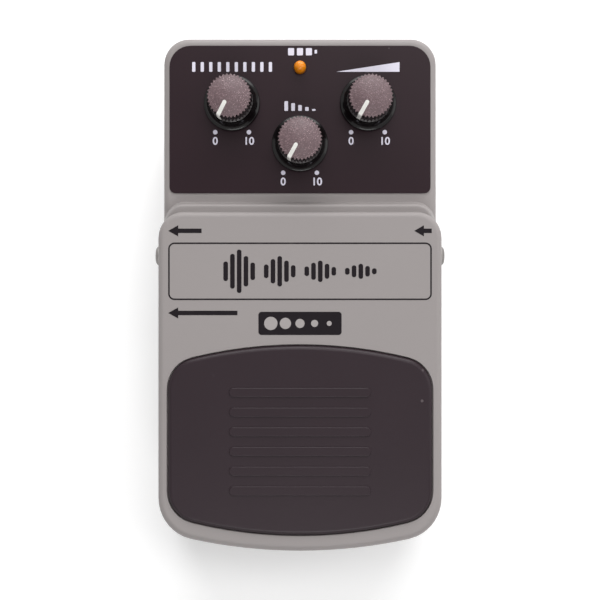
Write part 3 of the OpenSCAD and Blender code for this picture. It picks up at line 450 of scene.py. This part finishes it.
def make_specks():
    """Sparse pale specks laid over a colour: settled dirt on most finishes, painted glints on the knob's
    frosted top.
    """
    group, given, result = new_group(
        "specks",
        [("Colour", "NodeSocketColor", (0.5, 0.5, 0.5, 1)),
         ("Speck", "NodeSocketColor", (0.6, 0.6, 0.6, 1)),
         ("Scale", "NodeSocketFloat", 260), ("Share", "NodeSocketFloat", 0.04),
         ("Size", "NodeSocketFloat", 0.09)],
        [("Colour", "NodeSocketColor"), ("Mask", "NodeSocketFloat")])
    place = group.nodes.new("ShaderNodeTexCoord")
    cells = group.nodes.new("ShaderNodeTexVoronoi")
    group.links.new(place.outputs["Object"], cells.inputs["Vector"])
    group.links.new(given.outputs["Scale"], cells.inputs["Scale"])
    parts = group.nodes.new("ShaderNodeSeparateColor")
    group.links.new(cells.outputs["Color"], parts.inputs["Color"])
    chosen = math_node(group, "LESS_THAN", parts.outputs["Red"], given.outputs["Share"])
    near = math_node(group, "LESS_THAN", cells.outputs["Distance"], given.outputs["Size"])
    mask = math_node(group, "MULTIPLY", chosen, near)
    faded = math_node(group, "MULTIPLY", mask, parts.outputs["Green"])
    mix = group.nodes.new("ShaderNodeMix")
    mix.data_type = "RGBA"
    group.links.new(faded, mix.inputs["Factor"])
    group.links.new(given.outputs["Colour"], mix.inputs["A"])
    group.links.new(given.outputs["Speck"], mix.inputs["B"])
    group.links.new(mix.outputs["Result"], result.inputs["Colour"])
    group.links.new(faded, result.inputs["Mask"])
    return group


TONE_DRIFT = make_tone_drift()
GRAIN = make_grain()
SPECKS = make_specks()


def place_group(tree, group, values):
    step = tree.nodes.new("ShaderNodeGroup")
    step.node_tree = group
    for label, value in values.items():
        step.inputs[label].default_value = value
    return step


def finish(name, tint, rough, drift=0.06, drift_scale=60, grain=4000, relief=0.05, depth=0.02, coarse=0.3,
           dust_and_glints=None, metal=0.0, coat=0.0, coat_rough=0.1, specular=0.5):
    """A material with a drifting tone, fine grain and, if given, pale specks: share, size, scale and
    colour; these are settled dirt on most finishes and painted glints on the knob's frosted top.
    """
    material = bpy.data.materials.new(name)
    material.use_nodes = True
    tree = material.node_tree
    shader = tree.nodes["Principled BSDF"]
    shader.inputs["Metallic"].default_value = metal
    shader.inputs["Coat Weight"].default_value = coat
    shader.inputs["Coat Roughness"].default_value = coat_rough
    shader.inputs["Specular IOR Level"].default_value = specular
    tone = place_group(tree, TONE_DRIFT, {"Colour": tint, "Amount": drift, "Scale": drift_scale,
                                          "Roughness": rough})
    skin = tone.outputs["Colour"]
    if dust_and_glints:
        share, size, scale, speck = dust_and_glints
        specks = place_group(tree, SPECKS, {"Speck": speck, "Scale": scale, "Share": share, "Size": size})
        tree.links.new(skin, specks.inputs["Colour"])
        skin = specks.outputs["Colour"]
    tree.links.new(skin, shader.inputs["Base Color"])
    tree.links.new(tone.outputs["Roughness"], shader.inputs["Roughness"])
    texture = place_group(tree, GRAIN, {"Scale": grain, "Coarse": coarse})
    bump = tree.nodes.new("ShaderNodeBump")
    bump.inputs["Strength"].default_value = relief
    bump.inputs["Distance"].default_value = depth * MM
    tree.links.new(texture.outputs["Height"], bump.inputs["Height"])
    tree.links.new(bump.outputs["Normal"], shader.inputs["Normal"])
    return material


DUST = colour(104, 95, 98)
GREY_PAINT = finish("grey_paint", colour(152, 146, 145), 0.46, drift=0.05, drift_scale=45, grain=3500,
                    relief=0.12, depth=0.03, dust_and_glints=(0.03, 0.07, 300, colour(190, 186, 184)),
                    specular=0.28)
TREAD_RUBBER = finish("tread_rubber", colour(38, 26, 32), 0.36, drift=0.12, drift_scale=70, grain=3000,
                      relief=0.35, depth=0.05, dust_and_glints=(0.05, 0.08, 240, DUST), specular=0.23)
BASE_RUBBER = finish("base_rubber", colour(34, 33, 34), 0.8, drift=0.15, drift_scale=90, grain=1500,
                     relief=0.6, depth=0.12, dust_and_glints=(0.05, 0.1, 200, DUST), specular=0.3)
PANEL_FILM = finish("panel_film", colour(36, 21, 27), 0.33, drift=0.1, drift_scale=50, grain=5000,
                    relief=0.12, depth=0.02, dust_and_glints=(0.05, 0.09, 230, DUST), specular=0.16)
KNOB_GLOSS = finish("knob_gloss", colour(15, 12, 13), 0.16, drift=0.1, drift_scale=120, grain=2500,
                    relief=0.04, depth=0.02, specular=0.24)
KNOB_SATIN = finish("knob_satin", colour(46, 39, 41), 0.36, drift=0.2, drift_scale=900, grain=2500,
                    relief=0.2, depth=0.03, specular=0.4)
# Frosted knob top: a grey frost of its own, lightened with painted sheen of the lamps behind, and pale
# specks that are painted glints.
KNOB_FROST_AND_SHEEN = finish("knob_frost_and_sheen", colour(98, 77, 81), 0.42, drift=0.9, drift_scale=3000, grain=3600,
                    relief=1.0, depth=0.12, dust_and_glints=(0.45, 0.4, 4200, colour(172, 146, 150)),
                    specular=0.5)
WHITE_INK = finish("white_ink", colour(220, 216, 230), 0.5, drift=0.06, drift_scale=300, grain=5000,
                   relief=0.1)
BLACK_INK = finish("black_ink", colour(26, 21, 25), 0.45, drift=0.1, drift_scale=200, grain=5000,
                   relief=0.1, specular=0.1)
GREY_INK = finish("grey_ink", colour(158, 152, 151), 0.45, drift=0.05, drift_scale=200, grain=5000,
                  relief=0.1)
POINTER_WHITE = finish("pointer_white", colour(240, 239, 234), 0.4, drift=0.04, drift_scale=400,
                       relief=0.06)
AMBER = finish("amber_lens", colour(230, 134, 4), 0.12, drift=0.25, drift_scale=500, relief=0.02,
               coat=0.25, coat_rough=0.03, specular=0.2)
NICKEL = finish("nickel_plate", colour(128, 125, 123), 0.4, drift=0.12, drift_scale=250, grain=2600,
                relief=0.1, metal=1.0)
SPRING_WIRE = finish("spring_wire", colour(150, 150, 152), 0.35, drift=0.15, drift_scale=300, metal=1.0)
BRASS = finish("contact_brass", colour(196, 164, 92), 0.3, drift=0.12, drift_scale=300, metal=1.0)
BLACK_PLASTIC = finish("black_plastic", colour(32, 31, 33), 0.45, drift=0.1, drift_scale=120,
                       grain=2600, relief=0.2)
BASE_PLASTIC = finish("base_plastic", colour(44, 43, 44), 0.6, drift=0.1, drift_scale=80, grain=2200,
                      relief=0.4, depth=0.05)
BUTTON_GREY = finish("button_grey", colour(104, 104, 107), 0.5, drift=0.08, drift_scale=120)
BOARD_GREEN = finish("board_green", colour(44, 108, 66), 0.35, drift=0.2, drift_scale=220, coat=0.3)
CAN_ALUMINIUM = finish("can_aluminium", colour(196, 197, 199), 0.35, drift=0.08, drift_scale=300,
                       metal=1.0)
HEADER_IVORY = finish("header_ivory", colour(226, 218, 198), 0.5, drift=0.06, drift_scale=150)
RIBBON_GREY = finish("ribbon_grey", colour(158, 158, 160), 0.5, drift=0.08, drift_scale=200)
LEAD_RED = finish("lead_red", colour(180, 34, 28), 0.45, drift=0.08, drift_scale=200)
LEAD_BLACK = finish("lead_black", colour(30, 30, 31), 0.45, drift=0.08, drift_scale=200)
BATTERY_JACKET = finish("battery_jacket", colour(72, 82, 92), 0.35, drift=0.1, drift_scale=90, coat=0.4)

SLOT_FINISH = {
    "case_paint": GREY_PAINT, "rubber": BASE_RUBBER, "base_plastic": BASE_PLASTIC,
    "overlay_film": PANEL_FILM, "knob_plastic": KNOB_GLOSS, "pointer_paint": POINTER_WHITE,
    "lamp_lens": AMBER, "steel": NICKEL, "spring_steel": SPRING_WIRE, "contact_brass": BRASS,
    "socket_plastic": BLACK_PLASTIC, "button_plastic": BUTTON_GREY, "board_laminate": BOARD_GREEN,
    "capacitor_can": CAN_ALUMINIUM, "header_plastic": HEADER_IVORY, "ribbon_sheath": RIBBON_GREY,
    "red_sheath": LEAD_RED, "black_sheath": LEAD_BLACK, "battery_jacket": BATTERY_JACKET,
}


def coat_piece(piece, *materials):
    """Gives a piece its materials, in the order of its faces' slots."""
    piece.data.materials.clear()
    for material in materials:
        piece.data.materials.append(material)


def stand_for(piece, node, *materials):
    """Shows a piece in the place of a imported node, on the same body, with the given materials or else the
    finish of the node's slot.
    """
    coat_piece(piece, *(materials or (SLOT_FINISH[node_slot[node]],)))
    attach(piece, nodes[node]["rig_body"])
    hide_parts(node)


def mark_on(piece, body, material):
    """Fixes a printed mark to a body."""
    coat_piece(piece, material)
    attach(piece, body)


# Shells

def merged_copy(node):
    """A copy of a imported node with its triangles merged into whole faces."""
    piece = bpy.data.objects.new(node + "_shell", nodes[node].data.copy())
    bpy.context.scene.collection.objects.link(piece)
    edit(piece, "VERT")
    bpy.ops.mesh.select_all(action="SELECT")
    bpy.ops.mesh.remove_doubles(threshold=1e-6)
    bpy.ops.mesh.dissolve_limited(angle_limit=math.radians(0.4))
    leave()
    return piece


def softened_shell(node, width, segments):
    """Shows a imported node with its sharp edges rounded."""
    piece = merged_copy(node)
    soften(piece, width, segments)
    smooth(piece)
    stand_for(piece, node)


def case_shell():
    """Front and rear of the case as one moulding, with no joint to see."""
    piece = merged_copy("upper_case")
    cut_or_join(piece, merged_copy("front_case"), "UNION")
    edit(piece, "VERT")
    bpy.ops.mesh.select_all(action="SELECT")
    bpy.ops.mesh.remove_doubles(threshold=2e-6)
    bpy.ops.mesh.dissolve_limited(angle_limit=math.radians(0.4))
    leave()
    soften(piece, 0.25, 2)
    smooth(piece)
    stand_for(piece, "upper_case")
    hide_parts("upper_case", "front_case")


def coil_spring(node):
    """A spring shown as a still, smoothed copy of its imported node, in that node's place."""
    piece = merged_copy(node)
    smooth(piece, 50)
    coat_piece(piece, SLOT_FINISH[node_slot[node]])
    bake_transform(piece)
    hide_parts(node)


def springs():
    """Springs under the treadle, and behind each hinge pin."""
    coil_spring("return_springs")
    for side, sign in (("left", -1), ("right", 1)):
        coil_spring(side + "_pin_spring")


SHELL_EDGES = {
    "treadle": (0.25, 2), "panel_overlay": (0.06, 1), "base_plate": (0.25, 2),
    "base_mat": (0.4, 2), "base_screws": (0.15, 2), "jack_nuts": (0.2, 2), "jack_washers": (0.1, 1),
    "input_jack": (0.15, 2), "output_jack": (0.15, 2), "direct_jack": (0.15, 2), "power_inlet": (0.2, 2),
    "power_pin": (0.2, 2), "left_hinge_pin": (0.12, 2), "right_hinge_pin": (0.12, 2),
}


# Pad

def pad_outline(steps=10):
    """Straight sides, bowed front and rear edges and round corners."""
    x = PAD_HALF_W - PAD_CORNER
    rise = math.sqrt((PAD_BOW - PAD_CORNER) ** 2 - x ** 2)
    turn = math.degrees(math.atan2(x, rise))
    front = PAD_FRONT + PAD_BOW
    rear = PAD_REAR - PAD_BOW
    return (arc((0, front), PAD_BOW, 270 - turn, 270 + turn, 3 * steps)
            + arc((x, front - rise), PAD_CORNER, 270 + turn, 360, steps)[1:]
            + arc((x, rear + rise), PAD_CORNER, 0, 90 - turn, steps)
            + arc((0, rear), PAD_BOW, 90 - turn, 90 + turn, 3 * steps)[1:]
            + arc((-x, rear + rise), PAD_CORNER, 90 + turn, 180, steps)[1:]
            + arc((-x, front - rise), PAD_CORNER, 180, 270 - turn, steps)[:-1])


def round_rim(piece, height, width, segments):
    """Rounds the rim of a plate at a height."""
    top = height * MM - 1e-7
    edit(piece, "EDGE")
    pick_edges(piece, lambda a, b: a.z > top and b.z > top)
    bpy.ops.mesh.bevel(offset=width * MM, segments=segments, affect="EDGES")
    leave()


def tread_pad():
    """Rubber pad with a soft rim and low grip ribs."""
    height = PAD_FACE / MM + PAD_RECESS
    piece = plate("tread_rubber_pad", pad_outline(), height)
    round_rim(piece, height, PAD_EDGE, 6)
    for i in range(RIB_COUNT):
        v = RIB_MID + (i - (RIB_COUNT - 1) / 2) * RIB_PITCH
        rib = plate("rib", round_box(RIB_L, RIB_W, RIB_W * 0.49, 8), 1 + RIB_H)
        round_rim(rib, 1 + RIB_H, RIB_H * 0.9, 3)
        set_down(rib, Matrix.Translation((0, v * MM, (height - 1) * MM)))
        cut_or_join(piece, rib, "UNION")
    smooth(piece)
    set_down(piece, on_slope(0, 0, -PAD_RECESS * MM))
    stand_for(piece, "tread_pad", TREAD_RUBBER)


# Knobs

def crown_line(top, grow, inner):
    """Radii and heights of a knob's top from an inner radius out to the rim, grown outwards."""
    dome = [(r, top + grow - CROWN * (r / CROWN_R) ** 2) for r in (inner, 1.2, 2, 2.8, 3.5, 4.1, CROWN_R)]
    rim = [(CROWN_R + (GRIP_R + grow - CROWN_R) * math.sin(math.radians(a)),
            top + grow - CROWN - CROWN_EDGE * (1 - math.cos(math.radians(a)))) for a in (25, 45, 65, 90)]
    return dome + rim


def knob_grip(top):
    """Ridged drum with pointed ridges, turned off at its rim, crowned on top and bored for the shaft."""
    low = FLARE_H - 0.5
    bpy.ops.object.select_all(action="DESELECT")
    bpy.ops.mesh.primitive_cylinder_add(vertices=4 * RIDGES, radius=GRIP_R * MM, depth=(top + 1 - low) * MM,
                                        location=(0, 0, (top + 1 + low) / 2 * MM))
    grip = name_active("grip")
    bpy.ops.object.transform_apply(location=True)
    for vertex in grip.data.vertices:
        turns = math.atan2(vertex.co.y, vertex.co.x) / (2 * math.pi) * RIDGES
        groove = abs((turns % 1) - 0.5) * 2
        scale = 1 - groove * GRIP_GROOVE / GRIP_R
        vertex.co.x *= scale
        vertex.co.y *= scale
    set_down(grip, Matrix.Rotation(math.radians(RIDGE_TURN), 4, "Z"))
    rim = top - CROWN - CROWN_EDGE
    bore = [(SHAFT_R, low - 1), (SHAFT_R, SHAFT_TOP), (0, SHAFT_TOP)]
    turned = lathe("turned", crown_line(top, 0.02, 0) + [(SKIRT_R, rim), (SKIRT_R, low - 1)] + bore, 96)
    cut_or_join(grip, turned, "INTERSECT")
    return grip


def knob_skirt():
    """Flared base with a hollow for the nut, a hole for the shaft and a sloped step under the ridges."""
    neck = GRIP_R - GRIP_GROOVE - CORE_INSET
    top = FLARE_H + STEP_H
    wide = GRIP_R + STEP_W
    flare = [(SKIRT_R - (SKIRT_R - wide) * math.sin(math.radians(a)),
              FLARE_H - (FLARE_H - SKIRT_RIM) * math.cos(math.radians(a))) for a in range(0, 91, 9)]
    flare.append((neck, top))
    hole = SHAFT_R + 0.3
    lip = [(SKIRT_R - FOOT_EDGE, 0), (SKIRT_R, FOOT_EDGE)]
    lip += arc((SKIRT_R - LIP_R, SKIRT_RIM - LIP_R), LIP_R, 0, 90, 4)
    return lathe("skirt", [(HOLLOW_R, 0)] + lip + flare[1:]
                 + [(hole, top), (hole, HOLLOW_H), (HOLLOW_R, HOLLOW_H)], 96)


def knob(name):
    """One control: a ridged knob with a frosted top lightened with painted sheen and painted glints, and
    its white pointer.
    """
    node = name + "_knob"
    turn = joints[name + "_turn"]
    foot = Vector(turn["pos_m"])
    base = -max((-vertex.co).dot(NORMAL) for vertex in nodes[node].data.vertices)
    top = (reach(node, NORMAL) - base) / MM
    place = control_place(name, base - foot.dot(NORMAL))
    piece = knob_grip(top)
    piece.name = name + "_ridged_knob"
    cut_or_join(piece, knob_skirt(), "UNION")
    smooth(piece, 30)
    core = (GRIP_R - GRIP_GROOVE - CORE_INSET) * MM
    skins = []
    for face in piece.data.polygons:
        # Faces near the top that face upwards take the frost finish, with its painted sheen and glints.
        frosted = face.center.z > (top - FROST_DROP) * MM and face.normal.z > FROST_TILT
        drum = face.center.z > FLARE_H * MM and face.center.xy.length > core
        skins.append(2 if frosted else int(drum))
    set_down(piece, place)
    stand_for(piece, node, KNOB_GLOSS, KNOB_SATIN, KNOB_FROST_AND_SHEEN)
    piece.data.polygons.foreach_set("material_index", skins)
    line = pointer(top)
    set_down(line, place)
    line.name = name + "_white_line"
    stand_for(line, name + "_pointer")


def control_place(name, rise):
    """Matrix on a control's axis, with X along its pointer at rest."""
    turn = joints[name + "_turn"]
    line = nodes[name + "_pointer"].data.vertices
    middle = sum((vertex.co for vertex in line), Vector()) / len(line)
    foot = Vector(turn["pos_m"])
    out = middle - foot
    out = (out - out.dot(NORMAL) * NORMAL).normalized()
    turned = Matrix((out, NORMAL.cross(out), NORMAL)).transposed().to_4x4()
    return Matrix.Translation(foot + rise * NORMAL) @ turned


def pointer(top):
    """Painted line over a knob's crown and down its side, with a round inner end."""
    low = top - POINTER_DROP
    outer = crown_line(top, POINTER_PROUD, 0.8) + [(GRIP_R + POINTER_PROUD, low)]
    back = GRIP_R - GRIP_GROOVE - 0.1
    inner = [(back, low), (back, top - CROWN - POINTER_T), (0.8, top - POINTER_T)]
    skin = lathe("painted_skin", outer + inner, 96)
    half = POINTER_W / 2
    end = arc((POINTER_INNER + half, 0), half, 90, 270, 10)
    line = plate("line", end + [(SKIRT_R, -half), (SKIRT_R, half)], top)
    set_down(line, Matrix.Translation((0, 0, MM)))
    cut_or_join(line, skin, "INTERSECT")
    smooth(line)
    return line


# Lamp

def lamp():
    """Amber dome with a foot behind the panel."""
    low = min(vertex.co.dot(NORMAL) for vertex in nodes["status_lamp"].data.vertices)
    foot = (low - TREAD_Z * NORMAL.z) / MM - PANEL_FACE / MM
    dome = [(LAMP_R * math.cos(math.radians(a)), LAMP_RISE + LAMP_R * math.sin(math.radians(a)))
            for a in range(0, 90, 10)]
    flange = LAMP_R + LAMP_FLANGE
    stem = [(0, foot), (flange, foot), (flange, foot + 1), (LAMP_R, foot + 1)]
    lens = lathe("amber_dome", stem + dome + [(0, LAMP_RISE + LAMP_R)], 48)
    smooth(lens, 50)
    ends = [vertex.co.dot(ALONG) for vertex in nodes["status_lamp"].data.vertices]
    middle = (min(ends) + max(ends)) / 2 - TREAD_Z * ALONG.z
    set_down(lens, on_slope(0, middle, PANEL_FACE))
    stand_for(lens, "status_lamp", AMBER)


# Marks

def ink(outline, u, v, w):
    """One printed shape on the slope, at u and v in millimetres and w in metres."""
    piece = plate("ink", outline, INK_T)
    set_down(piece, on_slope(u * MM, v * MM, w))
    return piece


def arrow(length, height):
    """Arrow that points to the left, around the origin."""
    head = min(height * 0.9, length * 0.55)
    bar = height * 0.2
    left = -length / 2
    right = length / 2
    return [(left, 0), (left + head, -height / 2), (left + head, -bar), (right, -bar), (right, bar),
            (left + head, bar), (left + head, height / 2)]


def title_frame():
    """Thin line in a box with round corners."""
    piece = flat_face("title_frame", round_box(TITLE_W, TITLE_REAR - TITLE_FRONT, TITLE_CORNER, 8))
    edit(piece, "FACE")
    bpy.ops.mesh.select_all(action="SELECT")
    bpy.ops.mesh.inset(thickness=TITLE_LINE * MM)
    bpy.ops.mesh.delete(type="FACE")
    leave()
    extrude_up(piece, INK_T)
    set_down(piece, on_slope(0, (TITLE_REAR + TITLE_FRONT) / 2 * MM, 0))
    mark_on(piece, "treadle_unit", BLACK_INK)


def echo_bars():
    """A sound and its fading echoes, drawn as bars."""
    middle = (TITLE_REAR + TITLE_FRONT) / 2
    count = BEAT_COUNT * (len(BEAT) + 1) - 1
    bars = []
    for group in range(BEAT_COUNT):
        for step, share in enumerate(BEAT):
            place = group * (len(BEAT) + 1) + step - (count - 1) / 2
            height = max(BAR_H * share * BEAT_FADE ** group, BAR_LEAST)
            bars.append(ink(round_box(BAR_W, height, BAR_CORNER, 4), place * BAR_PITCH, middle, 0))
    mark_on(join(bars, "echo_bars"), "treadle_unit", BLACK_INK)


def badge():
    """Dark plate with a row of shrinking dots."""
    piece = ink(round_box(BADGE_W, BADGE_L, BADGE_CORNER), 0, BADGE_V, 0)
    piece.name = "badge_plate"
    mark_on(piece, "treadle_unit", BLACK_INK)
    spots = [ink(arc((0, 0), r, 0, 350, 35), (i - 2) * SPOT_PITCH, BADGE_V, INK_T * MM)
             for i, r in enumerate(SPOT_RADII)]
    mark_on(join(spots, "badge_dots"), "treadle_unit", GREY_INK)


def socket_arrows():
    """Arrows at the treadle's edges that show which way each socket works."""
    arrows = [
        ink(arrow(OUT_L, MARK_H), OUT_L / 2 - MARK_EDGE, OUT_V, 0),
        ink(arrow(IN_L, MARK_H), MARK_EDGE - IN_L / 2, OUT_V, 0),
        ink(arrow(DIRECT_L, MARK_H), DIRECT_L / 2 - MARK_EDGE, DIRECT_V, 0),
    ]
    mark_on(join(arrows, "socket_arrows"), "treadle_unit", BLACK_INK)


def figures(text, u, v):
    """Printed figures on the panel."""
    bpy.ops.object.select_all(action="DESELECT")
    bpy.ops.object.text_add()
    piece = name_active("figures")
    piece.data.body = text
    piece.data.align_x = "CENTER"
    piece.data.align_y = "CENTER"
    piece.data.size = FIGURE_H * FIGURE_FONT * MM
    piece.data.offset = FIGURE_BOLD * MM
    piece.data.extrude = INK_T / 2 * MM
    bpy.ops.object.convert(target="MESH")
    piece = bpy.context.view_layer.objects.active
    edit(piece, "VERT")
    bpy.ops.mesh.select_all(action="SELECT")
    bpy.ops.mesh.remove_doubles(threshold=1e-7)
    leave()
    set_down(piece, on_slope(u * MM, v * MM, PANEL_FACE + INK_T / 2 * MM))
    return piece


def dial_marks(name):
    """A dot and a figure at each end of a control's turn."""
    foot = Vector(joints[name + "_turn"]["pos_m"]) - Vector((0, 0, TREAD_Z))
    u = foot.x / MM
    v = foot.dot(ALONG) / MM
    dots = [ink(arc((0, 0), DOT_R, 0, 345, 23), u + side * DOT_U, v + DOT_V, PANEL_FACE)
            for side in (-1, 1)]
    texts = [figures("0", u - DOT_U, v + FIGURE_V), figures("10", u + DOT_U, v + FIGURE_V)]
    mark_on(join(dots + texts, name + "_dial_marks"), "chassis", WHITE_INK)


def panel_labels():
    """Plain signs over the controls and the lamp: steady ticks, a growing row, a wedge and a battery."""
    spread = joints["intensity_turn"]["pos_m"][0] / MM
    tick = round_box(TICK_W, LABEL_H, SIGN_CORNER, 3)
    ticks = [ink(tick, (i - (TICK_COUNT - 1) / 2) * TICK_PITCH - spread, OUTER_LABEL_V, PANEL_FACE)
             for i in range(TICK_COUNT)]
    rows = []
    for i in range(ROW_COUNT):
        height = LABEL_H * (ROW_COUNT - i) / ROW_COUNT
        v = CENTRE_LABEL_V - (LABEL_H - height) / 2
        rows.append(ink(round_box(ROW_W, height, SIGN_CORNER, 3), (i - 2) * ROW_PITCH, v, PANEL_FACE))
    half = LABEL_H / 2
    corners = [(-WEDGE_HALF, -half), (WEDGE_HALF, -half), (WEDGE_HALF, half)]
    wedge = ink(corners, spread, OUTER_LABEL_V, PANEL_FACE)
    block = round_box(CELL_W, LAMP_LABEL_H, SIGN_CORNER, 3)
    cell = [ink(block, (i - 1) * CELL_PITCH, LAMP_LABEL_V, PANEL_FACE) for i in range(CELL_COUNT)]
    tip = round_box(CELL_TIP_W, LAMP_LABEL_H / 2, SIGN_CORNER / 2, 2)
    cell.append(ink(tip, CELL_TIP_U, LAMP_LABEL_V, PANEL_FACE))
    mark_on(join(ticks + rows + [wedge] + cell, "panel_signs"), "chassis", WHITE_INK)


# Stage

def stage_finish(name, tint, glow):
    """Pale stage that keeps shadows, and that the camera and reflections see lighter."""
    material = bpy.data.materials.new(name)
    material.use_nodes = True
    tree = material.node_tree
    shader = tree.nodes["Principled BSDF"]
    shader.inputs["Base Color"].default_value = tint
    shader.inputs["Roughness"].default_value = 0.9
    shader.inputs["Specular IOR Level"].default_value = 0.1
    shader.inputs["Emission Color"].default_value = (1, 1, 1, 1)
    path = tree.nodes.new("ShaderNodeLightPath")
    seen = math_node(tree, "MAXIMUM", path.outputs["Is Camera Ray"], path.outputs["Is Glossy Ray"])
    seen = math_node(tree, "MAXIMUM", seen, path.outputs["Is Transmission Ray"])
    tree.links.new(math_node(tree, "MULTIPLY", seen, glow), shader.inputs["Emission Strength"])
    return material


def floor():
    bpy.ops.object.select_all(action="DESELECT")
    bpy.ops.mesh.primitive_plane_add(size=FLOOR_SIZE, location=(0, 0, FLOOR_Z))
    ground = name_active("floor")
    coat_piece(ground, stage_finish("floor_white", (0.9, 0.9, 0.9, 1), FLOOR_GLOW))


def lamp_panel(name, place, target, width, length, power):
    """Soft rectangular studio lamp that faces a point."""
    light = bpy.data.lights.new(name, "AREA")
    light.shape = "RECTANGLE"
    light.size = width
    light.size_y = length
    light.energy = power
    stand = bpy.data.objects.new(name, light)
    bpy.context.scene.collection.objects.link(stand)
    stand.location = place
    stand.rotation_euler = (Vector(target) - Vector(place)).to_track_quat("-Z", "Y").to_euler()


def world():
    sky = bpy.data.worlds.new("studio")
    bpy.context.scene.world = sky
    sky.use_nodes = True
    tree = sky.node_tree
    glow = tree.nodes["Background"]
    glow.inputs["Color"].default_value = (1, 1, 1, 1)
    path = tree.nodes.new("ShaderNodeLightPath")
    seen = math_node(tree, "MAXIMUM", path.outputs["Is Camera Ray"], path.outputs["Is Glossy Ray"])
    seen = math_node(tree, "MAXIMUM", seen, path.outputs["Is Transmission Ray"])
    lift = math_node(tree, "MULTIPLY", seen, 1 - AMBIENT)
    tree.links.new(math_node(tree, "ADD", lift, AMBIENT), glow.inputs["Strength"])


def camera():
    lens = bpy.data.cameras.new("camera")
    lens.lens = LENS
    lens.shift_y = VIEW_SHIFT
    lens.clip_start = 0.01
    eye = bpy.data.objects.new("camera", lens)
    bpy.context.scene.collection.objects.link(eye)
    eye.matrix_world = on_slope(0, EYE_V * MM, EYE_RISE * MM)
    bpy.context.scene.camera = eye


camera()
for node, part in nodes.items():
    coat_piece(part, SLOT_FINISH[node_slot[node]])
case_shell()
for node, (width, segments) in SHELL_EDGES.items():
    softened_shell(node, width, segments)
springs()
tread_pad()
for control in ("repeat_rate", "echo", "intensity"):
    knob(control)
    dial_marks(control)
lamp()
title_frame()
echo_bars()
badge()
socket_arrows()
panel_labels()
floor()
world()
for lamp_name, (lamp_place, lamp_w, lamp_l, watts) in LAMPS.items():
    lamp_panel(lamp_name, lamp_place, LAMP_AIM, lamp_w, lamp_l, watts)
bpy.context.scene.view_settings.view_transform = "Standard"
